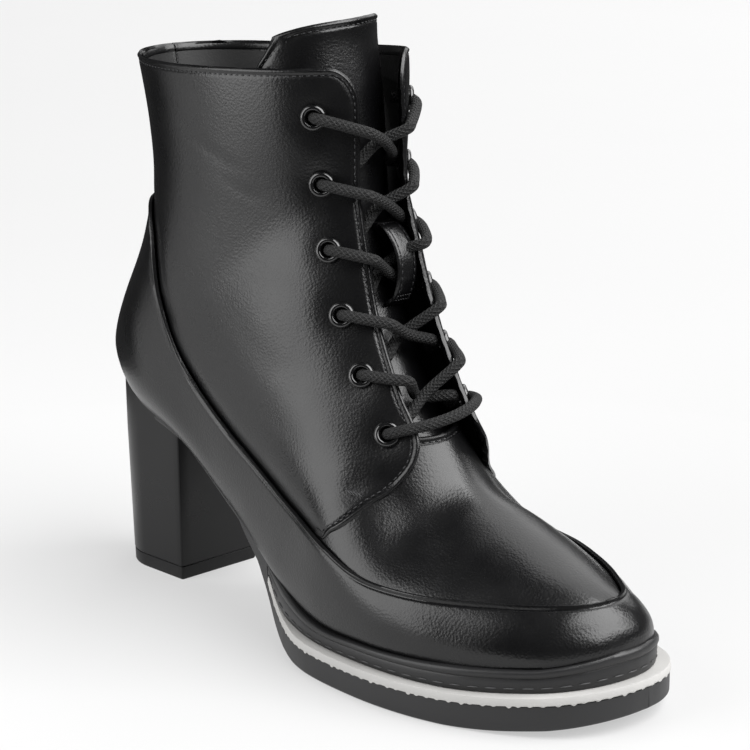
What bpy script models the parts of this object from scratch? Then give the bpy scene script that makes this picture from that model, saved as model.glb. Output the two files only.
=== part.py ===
"""Heeled lace-up ankle boot for the right foot, put together as a maker would.

All sizes are millimetres in the boot's own frame: x runs from the back of the heel to the toe,
y to the wearer's left (the inner side of this foot) and z up from the ground.
The meshes are written in metres, with the middle of the boot's footprint at the origin.
"""
import bmesh
import bpy
import numpy as np

MILLIMETRE = 0.001
FOOTPRINT_MIDDLE = (119.97, -1.415)
CLEARANCE = 0.3
SEAT_CLEARANCE = 0.85
SECTION_SAMPLES, CURVE_SAMPLES = 24, 240
SLOPE_STEP = 2.0
SHARP_ANGLE = 35.0

# Sections of the last, from behind the toe to the collar. Each runs from a bottom point on the
# feather line (or, above the heel seat, on the back seam) to a top point on the front line.
SECTION_COLUMNS = ("top_x", "top_z", "bottom_x", "bottom_z", "half_width", "bottom_half",
                   "widest_at", "crown", "centre_y", "flank_hollow")
SECTIONS = (
    (217.0, 39.6, 217.0, 19.3, 24.4, 24.8, 0.12, 1.6, -1.8, 0.5),
    (206.0, 43.8, 206.0, 18.4, 31.0, 31.2, 0.13, 1.7, -1.6, 1.5),
    (194.0, 48.4, 194.0, 17.6, 36.2, 36.2, 0.14, 1.8, -1.3, 3.0),
    (179.0, 54.4, 179.0, 16.8, 40.8, 39.6, 0.16, 2.0, -1.2, 6.0),
    (165.5, 62.0, 161.0, 16.3, 42.4, 40.2, 0.20, 2.0, -1.6, 10.5),
    (152.0, 81.0, 138.0, 16.4, 39.6, 37.2, 0.26, 2.0, -2.5, 8.5),
    (143.0, 97.6, 112.0, 22.3, 34.4, 30.2, 0.32, 2.0, -2.0, 4.0),
    (136.0, 114.0, 82.0, 37.6, 31.3, 23.6, 0.38, 2.1, -0.8, 1.5),
    (130.8, 134.0, 50.0, 55.0, 31.0, 22.0, 0.42, 2.2, 0.0, 0.5),
    (128.8, 144.0, 20.0, 61.2, 31.0, 18.6, 0.44, 2.3, 0.3, 0.0),
    (128.6, 146.0, 12.0, 62.2, 31.0, 14.2, 0.44, 2.3, 0.3, 0.0),
    (128.4, 147.7, 7.5, 62.8, 31.0, 7.6, 0.44, 2.3, 0.4, 0.0),
    (128.3, 149.0, 6.0, 63.0, 31.0, 0.01, 0.44, 2.3, 0.4, 0.0),
    (127.9, 153.0, 2.8, 77.0, 31.5, 0.01, 0.45, 2.3, 0.5, 0.0),
    (127.6, 159.0, 9.8, 96.0, 31.5, 0.01, 0.46, 2.3, 0.6, 0.0),
    (127.3, 166.0, 20.0, 115.0, 31.8, 0.01, 0.47, 2.3, 0.7, 0.0),
    (126.9, 174.0, 26.4, 137.0, 32.6, 0.01, 0.48, 2.3, 0.8, 0.0),
    (126.3, 182.0, 25.8, 160.0, 33.8, 0.01, 0.48, 2.3, 0.8, 0.0),
    (124.8, 194.0, 20.0, 189.0, 35.5, 0.01, 0.48, 2.3, 0.8, 0.0),
)
HEEL_SEAT_SECTION = 12
TOE_TIP_X, TOE_TIP_Y, TOE_TIP_Z = 232.0, 1.0, 23.0
TOE_ANGLES = (0.4, 12.0, 24.0, 36.0, 48.0)
TOE_START_ANGLE = 60.0
TOE_TOP_ROUND, TOE_BOTTOM_ROUND, TOE_CROWN_GAIN = 0.95, 1.8, 0.5
HOLLOW_SHIFT, TURN_UNDER = 1.5, 2.2

# Panels of the upper, as heights of the wall's outer face over the last's surface: the mudguard and
# counter lap over the quarters, which lap over the vamp. The wall's inner face is the same for all.
PANEL_RISE = {"vamp": -0.8, "quarter": 0.0, "mudguard": 0.7}
WALL_INSIDE = -2.2
# The quarters' front edges stand off a little beside the lower throat, most at its base.
FLAP_LIFT, FLAP_WIDTH, FLAP_TOP_Z, FLAP_FOOT_Z, FLAP_OPEN_Z = 3.4, 16.0, 116.0, 58.0, 80.0
SEAM_FRONT_Z, SEAM_BACK_Z = 36.4, 139.5
MUDGUARD_SEAM = ((207.0, 35.7), (180.0, 35.2), (160.0, 36.8), (140.0, 43.6), (114.0, 52.6),
                 (85.0, 67.0), (61.0, 86.5), (52.5, 104.0), (47.0, 124.0), (38.0, 136.0))
COLLAR_FRONT_Z, COLLAR_BACK_Z = 188.0, 184.5
COLLAR_LINE = ((100.0, 186.4), (60.0, 184.6))
COLLAR_INNER_RISE, COLLAR_RISE_SPREAD, COLLAR_LEAN = 2.3, 0.03, 1.3
THROAT_HALF_GAP = 10.4
THROAT_BASE_Z = 69.0
THROAT_SHARE_LIMIT = 0.3
QUARTER_FOOT_X = 140.0
QUARTER_SWEEP = 1.45
COLLAR_CORNER = 13.0
MUDGUARD_RINGS, VAMP_RINGS, THROAT_RINGS = 8, 5, 9
CORNER_DROPS = (8.5, 4.5, 1.5)
VAMP_COLUMNS, SIDE_COLUMNS = 10, 26
TOE_CROWDING = 1.25

# Sole: the tread layer is thick under the forefoot and thins up the arch to the heel seat.
SOLE_COLUMNS = ("x", "tread_z", "strip_z", "ledge", "rand_out")
SOLE = (
    (239.0, 5.6, 12.6, 5.7, 1.5),
    (225.0, 2.8, 10.6, 5.7, 1.5),
    (210.0, 0.9, 9.0, 5.7, 2.0),
    (194.0, 0.0, 8.0, 5.7, 2.6),
    (165.0, 0.0, 7.6, 5.7, 2.6),
    (138.0, 0.0, 7.6, 5.4, 2.6),
    (128.0, 0.0, 7.8, 4.6, 2.4),
    (118.0, 0.3, 8.6, 2.8, 2.0),
    (111.0, 2.7, 11.4, 1.4, 1.2),
    (103.0, 11.5, 18.6, 0.4, 0.4),
    (96.0, 20.6, 24.6, 0.0, 0.0),
    (82.0, 32.6, 34.0, -0.4, 0.0),
    (50.0, 52.3, 53.2, -0.8, 0.0),
    (6.0, 60.7, 61.6, -0.8, 0.0),
)
STRIP_THICKNESS, STRIP_WIDTH, STRIP_INSET = 2.5, 10.0, 0.4
STRIP_END_X = 104.0
WAIST_FRONT_X, WAIST_BACK_X = 112.0, 60.0
WAIST_FRONT_EASE, WAIST_BACK_EASE = 30.0, 20.0
BALL_BACK_X = 130.0
TOE_STATIONS, BALL_STATIONS, WAIST_STATIONS, ARCH_STATIONS = 9, 7, 7, 18
SOLE_EDGE_ROUND, RISER_STEP = 0.9, 0.02
RAND_GAP, RAND_UNDERCUT, RAND_BULGE = 0.65, 0.4, 0.3

HEEL_BACK_BOTTOM, HEEL_BACK_TOP = 6.0, 4.4
HEEL_BREAST_BOTTOM, HEEL_BREAST_TOP = 43.6, 45.2
HEEL_HALF_BOTTOM, HEEL_HALF_TOP = 17.2, 19.4
HEEL_CORNER, HEEL_STEPS = 0.8, 9
HEEL_SEAT_GAP = 0.6

INSOLE_THICKNESS, INSOLE_INSET = 2.0, 3.2
INSOLE_FRONT, INSOLE_BACK, INSOLE_STATIONS = 0.9, 0.6, 36

TONGUE_COLUMNS = ("height", "depth", "half_width", "radius")
TONGUE = (
    (64.0, 3.6, 13.0, 22.0),
    (72.0, 6.0, 14.5, 21.0),
    (80.0, 9.0, 16.0, 21.0),
    (100.0, 9.8, 18.0, 22.0),
    (130.0, 10.2, 20.5, 23.0),
    (160.0, 10.4, 26.0, 24.5),
    (186.0, 11.6, 33.0, 25.0),
    (199.4, 12.0, 34.0, 25.0),
)
TONGUE_TOP_DROP, TONGUE_TOP_ROUND, TONGUE_TOP_TILT = 10.7, 4, 2.7
TONGUE_THICKNESS = 2.2
TONGUE_ROWS, TONGUE_STRIPS = 17, 10

# Eyelets from the top down: distance from the middle of the front, and height.
EYELETS = ((23.0, 170.8), (19.7, 149.7), (19.4, 129.7), (18.5, 109.8), (17.6, 92.3), (18.1, 75.8))
EYELET_PROFILE = ((2.2, -2.4), (2.2, 1.1), (3.0, 1.5), (4.15, 0.75), (4.0, 0.5), (2.9, 0.5), (2.9, -2.4))
EYELET_HOLE_RADIUS, EYELET_HOLE_DEPTH = 3.25, 5.0
EYELET_SIDES = 9
FRONT_REACH = 45.0

# Lace: each run starts hidden behind one throat edge and stops short of the eyelet it goes into.
LACE_RADIUS, LACE_SIDES, LACE_STATIONS = 2.4, 7, 9
LACE_HIDDEN, LACE_SHORT = 2.4, 5.4
LACE_OVER_GAP, LACE_UNDER_GAP, LACE_EDGE_LIFT = 0.55, 1.05, 0.35
# Crossings from the top down: depth at the middle, then where a run climbs and how high it is there.
CROSSINGS = ((3.0, 6.8, 2.3), (3.0, 6.8, 2.3), (6.4, 7.4, 1.4), (3.0, 6.8, 2.4), (3.0, 6.8, 2.3))

LOOP_LOW, LOOP_HIGH = 112.5, 137.5
LOOP_ARCH, LOOP_HALF_WIDTH, LOOP_THICKNESS = 10.4, 3.6, 1.6
LOOP_STATIONS, LOOP_FULLNESS = 14, 0.8

LEATHER = ("smooth_black_leather", "#17171A", 0.38)
LINING = ("black_lining", "#1B1B1C", 0.75)
RUBBER = ("black_rubber", "#1C1C1D", 0.6)
STRIP_RUBBER = ("off_white_strip", "#DAD6CC", 0.7)
CORD = ("black_lace", "#1A1A1B", 0.8)
EYELET_METAL = ("black_metal", "#101012", 0.22)


def catmull_rom(rows, place):
    """Smooth values of a table at fractional row numbers."""
    table = np.asarray(rows, float)
    place = np.clip(np.asarray(place, float), 0, len(table) - 1)
    row = np.minimum(place.astype(int), len(table) - 2)
    f = (place - row)[..., None]
    here, after = table[row], table[row + 1]
    before = np.where((row > 0)[..., None], table[np.maximum(row - 1, 0)], 2 * here - after)
    beyond = np.where((row < len(table) - 2)[..., None],
                      table[np.minimum(row + 2, len(table) - 1)], 2 * after - here)
    return 0.5 * (2 * here + (after - before) * f
                  + (2 * before - 5 * here + 4 * after - beyond) * f ** 2
                  + (3 * here - before - 3 * after + beyond) * f ** 3)


def toe_sections():
    """Sections that round the toe off from the first row of the table to the tip."""
    first = dict(zip(SECTION_COLUMNS, SECTIONS[0]))
    rows = []
    for angle in np.radians(TOE_ANGLES):
        turn = np.sin(angle) / np.sin(np.radians(TOE_START_ANGLE))
        reach = (1 - np.cos(angle)) / (1 - np.cos(np.radians(TOE_START_ANGLE)))
        x = TOE_TIP_X - (TOE_TIP_X - first["top_x"]) * reach
        rows.append((x, TOE_TIP_Z + (first["top_z"] - TOE_TIP_Z) * turn ** TOE_TOP_ROUND,
                     x, TOE_TIP_Z + (first["bottom_z"] - TOE_TIP_Z) * turn ** TOE_BOTTOM_ROUND,
                     first["half_width"] * turn, first["bottom_half"] * turn,
                     first["widest_at"], first["crown"] + TOE_CROWN_GAIN * (1 - turn),
                     first["centre_y"] + (TOE_TIP_Y - first["centre_y"]) * (1 - turn),
                     first["flank_hollow"] * turn))
    return rows


ALL_SECTIONS = toe_sections() + list(SECTIONS)
HEEL_SEAT = len(TOE_ANGLES) + HEEL_SEAT_SECTION
LAST_PLACE = len(ALL_SECTIONS) - 1
FINE_PLACES = np.linspace(0, LAST_PLACE, LAST_PLACE * SECTION_SAMPLES + 1)
FINE_TABLE = catmull_rom(ALL_SECTIONS, FINE_PLACES)


def section_at(place):
    """Named values of the section at a fractional row number."""
    values = catmull_rom(ALL_SECTIONS, np.atleast_1d(np.asarray(place, float)))
    return {name: values[..., column] for column, name in enumerate(SECTION_COLUMNS)}


def place_through(x, z):
    """Row number of the section that passes through points of the side view."""
    top, bottom = FINE_TABLE[:, 0:2], FINE_TABLE[:, 2:4]
    run = top - bottom
    side = run[:, 0] * (z[:, None] - bottom[:, 1]) - run[:, 1] * (x[:, None] - bottom[:, 0])
    crossing = (side[:, :-1] > 0) & (side[:, 1:] <= 0)
    found = crossing.any(axis=1)
    at = np.argmax(crossing, axis=1)
    point = np.arange(len(x))
    before, after = side[point, at], side[point, at + 1]
    step = FINE_PLACES[1] * before / np.where(found, before - after, 1.0)
    ends = np.where(side[:, -1] > 0, FINE_PLACES[-1], FINE_PLACES[0])
    return np.where(found, FINE_PLACES[at] + step, ends)


def half_and_centre(x, z):
    """Half width of the last and the y of its middle at points of the side view."""
    part = section_at(place_through(x, z))
    run_x, run_z = part["top_x"] - part["bottom_x"], part["top_z"] - part["bottom_z"]
    along = (x - part["bottom_x"]) * run_x + (z - part["bottom_z"]) * run_z
    s = np.clip(along / (run_x ** 2 + run_z ** 2), 0, 1)
    up = np.clip((s - part["widest_at"]) / (1 - part["widest_at"]), 0, 1)
    down = np.clip(1 - s / part["widest_at"], 0, 1)
    above = part["half_width"] * np.sqrt(1 - up ** part["crown"])
    above = above - part["flank_hollow"] * np.sin(np.pi * up ** HOLLOW_SHIFT) ** 2
    below = part["half_width"] - part["bottom_half"]
    below = part["bottom_half"] + below * np.sqrt(1 - down ** TURN_UNDER)
    return np.where(s > part["widest_at"], above, below), part["centre_y"]


def path_length(points):
    """Running length along a line of points, starting at zero."""
    steps = np.linalg.norm(np.diff(points, axis=0), axis=1)
    return np.concatenate(([0.0], np.cumsum(steps)))


class SideCurve:
    """A curve of the side view, read by the share of its length on the boot's surface."""

    def __init__(self, points, half=None):
        self.points = np.asarray(points, float)
        if half is None:
            half = half_and_centre(self.points[:, 0], self.points[:, 1])[0]
        length = path_length(np.column_stack((self.points, half)))
        self.share = length / length[-1]
        self.length = length[-1]

    def at(self, share):
        return np.column_stack([np.interp(share, self.share, self.points[:, k]) for k in (0, 1)])


FRONT_LINE = FINE_TABLE[:, 0:2]
BACK_LINE = FINE_TABLE[FINE_PLACES >= HEEL_SEAT, 2:4]


def between_heights(line, low, high):
    """The stretch of a rising side-view line between two heights."""
    heights = np.linspace(low, high, CURVE_SAMPLES)
    return np.column_stack((np.interp(heights, line[:, 1], line[:, 0]), heights))


def smooth_curve(front, middle, back):
    """A side-view curve from the front line through a few points to the back line."""
    knots = [tuple(front)] + list(middle) + [tuple(back)]
    return catmull_rom(knots, np.linspace(0, len(knots) - 1, CURVE_SAMPLES))


def stretch(line, low, high):
    points = between_heights(line, low, high)
    return SideCurve(points, np.zeros(len(points)))


FEATHER_PLACES = np.linspace(0, HEEL_SEAT, 2 * CURVE_SAMPLES)
FEATHER_VALUES = section_at(FEATHER_PLACES)
FEATHER = SideCurve(np.column_stack((FEATHER_VALUES["bottom_x"], FEATHER_VALUES["bottom_z"])),
                    FEATHER_VALUES["bottom_half"])
TOE_FRONT = stretch(FRONT_LINE, TOE_TIP_Z, SEAM_FRONT_Z)
UPPER_FRONT = stretch(FRONT_LINE, SEAM_FRONT_Z, COLLAR_FRONT_Z)
COUNTER_BACK = stretch(BACK_LINE, BACK_LINE[0, 1], SEAM_BACK_Z)
UPPER_BACK = stretch(BACK_LINE, SEAM_BACK_Z, COLLAR_BACK_Z)
SEAM = SideCurve(smooth_curve(UPPER_FRONT.points[0], MUDGUARD_SEAM, UPPER_BACK.points[0]))
COLLAR = SideCurve(smooth_curve(UPPER_FRONT.points[-1], COLLAR_LINE, UPPER_BACK.points[-1]))


def ease(share):
    return (1 - share) ** 2 * (1 + 2 * share)


def collar_share(share):
    """Share along the collar over a share of the seam: lines lean forward, clear of the steep counter."""
    return share - COLLAR_LEAN * share ** 2 * (1 - share)


def surface(level, share, side):
    """Points of the upper's base surface.

    level runs 0 at the feather line, 1 at the mudguard's seam, 2 at the collar; share runs 0 at
    the front to 1 at the back; side is -1 on the outer side of the foot and +1 on the inner side.
    """
    level, share, side = (np.atleast_1d(np.asarray(v, float)) for v in (level, share, side))
    level, share, side = np.broadcast_arrays(level, share, side)
    lower = (level < 1)[:, None]
    t = np.where(level < 1, level, level - 1)

    def pick(first, second, at):
        return np.where(lower, first.at(at), second.at(at))

    top = np.where(lower, SEAM.at(share), COLLAR.at(collar_share(share)))
    blend = pick(FEATHER, SEAM, share) * (1 - t)[:, None] + top * t[:, None]
    one = np.ones_like(t)
    front_gap = pick(TOE_FRONT, UPPER_FRONT, t) - (
        pick(TOE_FRONT, UPPER_FRONT, 0 * one) * (1 - t)[:, None]
        + pick(TOE_FRONT, UPPER_FRONT, one) * t[:, None])
    back_gap = pick(COUNTER_BACK, UPPER_BACK, t) - (
        pick(COUNTER_BACK, UPPER_BACK, 0 * one) * (1 - t)[:, None]
        + pick(COUNTER_BACK, UPPER_BACK, one) * t[:, None])
    spot = blend + front_gap * ease(share)[:, None] + back_gap * ease(1 - share)[:, None]
    tilt = side * COLLAR_INNER_RISE * (1 - share) * (1 - np.exp(-share / COLLAR_RISE_SPREAD))
    height = spot[:, 1] + np.where(level > 1, tilt * t ** 2, 0)
    half, centre = half_and_centre(spot[:, 0], height)
    return np.column_stack((spot[:, 0], centre + side * half, height))


def level_at_front(height):
    """Level of the ring whose front end lies at a height of the front line."""
    return 1 + np.interp(height, UPPER_FRONT.points[:, 1], UPPER_FRONT.share)


THROAT_LEVEL = float(level_at_front(THROAT_BASE_Z))


def share_at_half(level, half_gap):
    """Share along a ring at which the surface lies half_gap from the front line."""
    shares = np.linspace(0, THROAT_SHARE_LIMIT, CURVE_SAMPLES)
    points = surface(level, shares, -1)
    half = half_and_centre(points[:, 0], points[:, 2])[0]
    return float(np.interp(half_gap, half, shares))


def quarter_edge(level):
    """Share of the quarter's front edge: along the throat, then swept back to the mudguard."""
    foot = float(np.interp(-QUARTER_FOOT_X, -SEAM.points[:, 0], SEAM.share))
    if level <= 1:
        return foot
    if level < THROAT_LEVEL:
        rise = (level - 1) / (THROAT_LEVEL - 1)
        base = share_at_half(THROAT_LEVEL, THROAT_HALF_GAP)
        return base + (foot - base) * (1 - rise ** QUARTER_SWEEP)
    drop = min((2 - level) * UPPER_FRONT.length, COLLAR_CORNER)
    back = COLLAR_CORNER - np.sqrt(COLLAR_CORNER ** 2 - (COLLAR_CORNER - drop) ** 2)
    return share_at_half(level, THROAT_HALF_GAP) + back / COLLAR.length


def upper_levels():
    """Levels of the rings, closer together at the rounded corner of the collar."""
    corner = 2 - COLLAR_CORNER / UPPER_FRONT.length
    lower = np.linspace(0, 1, MUDGUARD_RINGS + 1)
    vamp = np.linspace(1, THROAT_LEVEL, VAMP_RINGS + 1)[1:]
    throat = np.linspace(THROAT_LEVEL, corner, THROAT_RINGS + 1)[1:]
    top = [2 - drop / UPPER_FRONT.length for drop in CORNER_DROPS] + [2.0]
    return np.concatenate((lower, vamp, throat, top))


def upper_grid():
    """Base points and outward normals: one row for each level, one column round the ring."""
    levels = upper_levels()
    columns = np.arange(-SIDE_COLUMNS + 1, SIDE_COLUMNS + 1)
    rows = []
    for level in levels:
        edge = quarter_edge(level)
        count = np.abs(columns)
        inner = np.minimum(count / VAMP_COLUMNS, 1) ** TOE_CROWDING
        share = np.where(count <= VAMP_COLUMNS, edge * inner,
                         edge + (1 - edge) * (count - VAMP_COLUMNS) / (SIDE_COLUMNS - VAMP_COLUMNS))
        rows.append(surface(level, share, np.where(columns < 0, -1, 1)))
    points = np.array(rows)
    round_step = np.roll(points, -1, axis=1) - np.roll(points, 1, axis=1)
    normals = np.cross(round_step, np.gradient(points, axis=0))
    return levels, columns, points, normals / np.linalg.norm(normals, axis=2, keepdims=True)


def linear_colour(code):
    """sRGB hex colour as linear values."""
    values = [int(code[k:k + 2], 16) / 255 for k in (1, 3, 5)]
    return [v / 12.92 if v <= 0.04045 else ((v + 0.055) / 1.055) ** 2.4 for v in values] + [1.0]


def material(finish):
    name, code, roughness = finish
    made = bpy.data.materials.get(name) or bpy.data.materials.new(name)
    made.use_nodes = True
    shader = made.node_tree.nodes["Principled BSDF"]
    shader.inputs["Base Color"].default_value = linear_colour(code)
    shader.inputs["Roughness"].default_value = roughness
    return made


class Solid:
    """Collects shared points and faces of one piece, then makes its object."""

    def __init__(self, name, finish):
        self.name, self.finish = name, finish
        self.mesh = bmesh.new()
        self.known = {}

    def point(self, key, spot):
        if key not in self.known:
            place = (spot[0] - FOOTPRINT_MIDDLE[0], spot[1] - FOOTPRINT_MIDDLE[1], spot[2])
            self.known[key] = self.mesh.verts.new([v * MILLIMETRE for v in place])
        return self.known[key]

    def face(self, corners):
        corners = list(dict.fromkeys(corners))
        if len(corners) > 2:
            self.mesh.faces.new(corners)

    def finish_object(self):
        bmesh.ops.triangulate(self.mesh, faces=self.mesh.faces[:])
        bmesh.ops.recalc_face_normals(self.mesh, faces=self.mesh.faces[:])
        data = bpy.data.meshes.new(self.name)
        self.mesh.to_mesh(data)
        self.mesh.free()
        data.shade_smooth()
        data.set_sharp_from_angle(angle=np.radians(SHARP_ANGLE))
        data.materials.append(material(self.finish))
        made = bpy.data.objects.new(self.name, data)
        bpy.context.scene.collection.objects.link(made)
        return made


def panel_of(levels, columns, row, column):
    """Panel that a cell of the upper belongs to, or None in the open throat."""
    between = min(abs(columns[column]), abs(columns[(column + 1) % len(columns)]))
    inside = between < VAMP_COLUMNS
    if levels[row] < 1 - 1e-6:
        return "mudguard"
    if not inside:
        return "quarter"
    return "vamp" if levels[row] < THROAT_LEVEL - 1e-6 else None


def flap_lift(spot):
    """How far a quarter's front edge stands off beside the lower throat."""
    low = np.clip((spot[2] - FLAP_FOOT_Z) / (THROAT_BASE_Z - FLAP_FOOT_Z), 0, 1)
    high = np.clip((FLAP_TOP_Z - spot[2]) / (FLAP_TOP_Z - THROAT_BASE_Z), 0, 1)
    half = abs(spot[1] - half_and_centre(spot[:1], spot[2:])[1][0])
    near = np.clip(1 - (half - THROAT_HALF_GAP) / FLAP_WIDTH, 0, 1)
    return FLAP_LIFT * near ** 2 * ease(1 - low) * ease(1 - high)


def make_upper():
    levels, columns, points, normals = upper_grid()
    rings, around = len(levels), len(columns)
    solid = Solid("upper", LEATHER)
    panels = [[panel_of(levels, columns, r, c) for c in range(around)] for r in range(rings - 1)]
    heights = {}
    for r in range(rings - 1):
        for c in range(around):
            if panels[r][c]:
                for corner in ((r, c), (r + 1, c), (r, (c + 1) % around), (r + 1, (c + 1) % around)):
                    heights.setdefault(corner, set()).add(PANEL_RISE[panels[r][c]])

    def corner_point(corner, rise):
        lift = 0.0
        if rise == PANEL_RISE["quarter"]:
            lift = flap_lift(points[corner])
        elif rise == WALL_INSIDE and heights[corner] == {PANEL_RISE["quarter"]}:
            opened = np.clip((points[corner][2] - THROAT_BASE_Z) / (FLAP_OPEN_Z - THROAT_BASE_Z), 0, 1)
            lift = flap_lift(points[corner]) * opened
        spot = points[corner] + normals[corner] * (rise + lift)
        if corner[0] == 0:
            spot[2] = points[corner][2]
        return solid.point((corner, rise), spot)

    def upright(corner, low, high):
        between = sorted(h for h in heights[corner] if low < h < high)
        return [corner_point(corner, h) for h in [low] + between + [high]]

    def wall(start, end, low, high):
        solid.face(upright(start, low, high) + upright(end, low, high)[::-1])

    for r in range(rings - 1):
        for c in range(around):
            panel = panels[r][c]
            if panel is None:
                continue
            after = (c + 1) % around
            ring = ((r, c), (r, after), (r + 1, after), (r + 1, c))
            rise = PANEL_RISE[panel]
            solid.face([corner_point(k, rise) for k in ring])
            solid.face([corner_point(k, WALL_INSIDE) for k in ring[::-1]])
            beside = (panels[r - 1][c] if r > 0 else None, panels[r][after],
                      panels[r + 1][c] if r + 2 < rings else None, panels[r][c - 1])
            for k, other in enumerate(beside):
                start, end = ring[k], ring[(k + 1) % 4]
                if other is None:
                    wall(start, end, WALL_INSIDE, rise)
                elif PANEL_RISE[other] < rise:
                    wall(start, end, PANEL_RISE[other], rise)
    return solid.finish_object()


def sole_value(name, x):
    """A column of the sole table at stations x."""
    rows = sorted(SOLE)
    place = np.interp(x, [row[0] for row in rows], np.arange(len(rows)))
    return catmull_rom(rows, place)[..., SOLE_COLUMNS.index(name)]


def place_at_x(x):
    return float(np.interp(-x, -FEATHER_VALUES["bottom_x"], FEATHER_PLACES))


def front_stations():
    """Row numbers along the feather line from the toe's tip to the end of the strip."""
    toe = np.linspace(0, len(TOE_ANGLES), TOE_STATIONS + 1)
    ball = np.linspace(SECTIONS[0][2], BALL_BACK_X, BALL_STATIONS + 1)[1:]
    waist = np.linspace(BALL_BACK_X, STRIP_END_X, WAIST_STATIONS + 1)[1:]
    return np.concatenate((toe, [place_at_x(x) for x in np.concatenate((ball, waist))]))


def outline(places, out):
    """Points beside the feather line, moved out in plan; columns: outer side, inner side.

    Along the waist they move straight sideways, so that the ends of the strip and rand are square.
    """
    values = section_at(places)
    sides = []
    for side in (-1, 1):
        line = np.column_stack((values["bottom_x"], values["centre_y"] + side * values["bottom_half"]))
        run = np.gradient(line, axis=0)
        if places[0] == 0:
            run[0] = (0, side)
        if places[-1] == HEEL_SEAT:
            run[-1] = (0, -side)
        x = line[:, 0]
        slant = np.maximum(np.clip((x - WAIST_FRONT_X) / WAIST_FRONT_EASE, 0, 1),
                           np.clip((WAIST_BACK_X - x) / WAIST_BACK_EASE, 0, 1))
        across = side * np.column_stack((run[:, 1] * slant, -run[:, 0]))
        across = across / np.linalg.norm(across, axis=1, keepdims=True)
        sides.append(line + across * np.asarray(out)[:, None])
    return np.stack(sides, axis=1)


def feather_height(x):
    """Height of the feather line over stations x."""
    return np.interp(-x, -FEATHER_VALUES["bottom_x"], FEATHER_VALUES["bottom_z"])


def seat_height(x):
    """Height of the sole's top under the upper's lower edge."""
    return feather_height(x) - SEAT_CLEARANCE


def strip_height(x):
    return sole_value("strip_z", x)


def tread_height(x):
    return np.maximum(sole_value("tread_z", x), 0.0)


def layer(name, finish, places, rings):
    """A sole layer from rings of (plan, heights), closed across its first and last ring."""
    solid = Solid(name, finish)
    count = len(places)
    order = [(k, 0) for k in range(count)] + [(k, 1) for k in range(count - 1, -1, -1)]
    if places[0] == 0:
        order = order[:-1]
    if places[-1] == HEEL_SEAT:
        order.remove((count - 1, 1))

    def corner(ring, station):
        k, side = station
        lone = (k == 0 and places[0] == 0) or (k == count - 1 and places[-1] == HEEL_SEAT)
        side = 0 if lone else side
        plan, height = rings[ring]
        return solid.point((ring, k, side), (*plan[k, side], height[k, side]))

    for ring in range(len(rings) - 1):
        for k, station in enumerate(order):
            after = order[(k + 1) % len(order)]
            solid.face([corner(ring, station), corner(ring, after),
                        corner(ring + 1, after), corner(ring + 1, station)])
    for ring in (0, len(rings) - 1):
        for k in range(count - 1):
            solid.face([corner(ring, (k, 0)), corner(ring, (k + 1, 0)),
                        corner(ring, (k + 1, 1)), corner(ring, (k, 1))])
    return solid.finish_object()


def make_outsole():
    """The tread layer; its middle stands up inside the strip to carry the midsole."""
    riser = place_at_x(STRIP_END_X - CLEARANCE)
    arch = np.linspace(place_at_x(STRIP_END_X - 2 * CLEARANCE), HEEL_SEAT, ARCH_STATIONS)
    places = np.concatenate((front_stations(), [riser], arch))
    under_strip = (places <= riser)[:, None]
    ledge = sole_value("ledge", section_at(places)["bottom_x"])
    bottom = outline(places, ledge - SOLE_EDGE_ROUND)
    edge = outline(places, ledge)
    step = outline(places, ledge - STRIP_WIDTH - CLEARANCE)

    def top(plan, lift):
        return np.where(under_strip, strip_height(plan[..., 0]) + lift, seat_height(plan[..., 0]))

    raised = STRIP_THICKNESS + CLEARANCE
    rings = ((bottom, tread_height(bottom[..., 0])),
             (edge, tread_height(edge[..., 0]) + SOLE_EDGE_ROUND),
             (edge, top(edge, 0.0)), (step, top(step, 0.0)), (step, top(step, raised) + RISER_STEP))
    return layer("outsole", RUBBER, places, rings)


def make_welt():
    """The off-white strip: a flat band round the forefoot, open across the arch."""
    solid = Solid("welt", STRIP_RUBBER)
    places = front_stations()
    ledge = sole_value("ledge", section_at(places)["bottom_x"])
    outer, inner = outline(places, ledge - STRIP_INSET), outline(places, ledge - STRIP_WIDTH)
    order = [(k, 0) for k in range(len(places) - 1, -1, -1)] + [(k, 1) for k in range(1, len(places))]

    def corners(station):
        spots = []
        for plan, lift in ((outer, 0.0), (outer, STRIP_THICKNESS), (inner, STRIP_THICKNESS), (inner, 0.0)):
            x, y = plan[station]
            spots.append((x, y, float(strip_height(x)) + CLEARANCE + lift))
        return [solid.point((station, n), spot) for n, spot in enumerate(spots)]

    for start, end in zip(order[:-1], order[1:]):
        first, second = corners(start), corners(end)
        for n in range(4):
            solid.face([first[n], second[n], second[(n + 1) % 4], first[(n + 1) % 4]])
    solid.face(corners(order[0]))
    solid.face(corners(order[-1]))
    return solid.finish_object()


def make_midsole():
    """The rand: a rubber band under the upper, standing back from the strip's edge."""
    places = front_stations()
    out = sole_value("rand_out", section_at(places)["bottom_x"])
    plans = [outline(places, out + move) for move in (-RAND_UNDERCUT, RAND_BULGE, 0.0)]
    lows = [strip_height(plan[..., 0]) + STRIP_THICKNESS + RAND_GAP for plan in plans]
    highs = [seat_height(plan[..., 0]) for plan in plans]
    rings = ((plans[0], lows[0]), (plans[1], (lows[1] + highs[1]) / 2), (plans[2], highs[2]))
    return layer("midsole", RUBBER, places, rings)


def make_insole():
    places = np.linspace(INSOLE_FRONT, HEEL_SEAT - INSOLE_BACK, INSOLE_STATIONS)
    plan = outline(places, np.full(len(places), -INSOLE_INSET))
    low = feather_height(plan[..., 0]) + CLEARANCE
    return layer("insole", LINING, places, ((plan, low), (plan, low + INSOLE_THICKNESS)))


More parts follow.
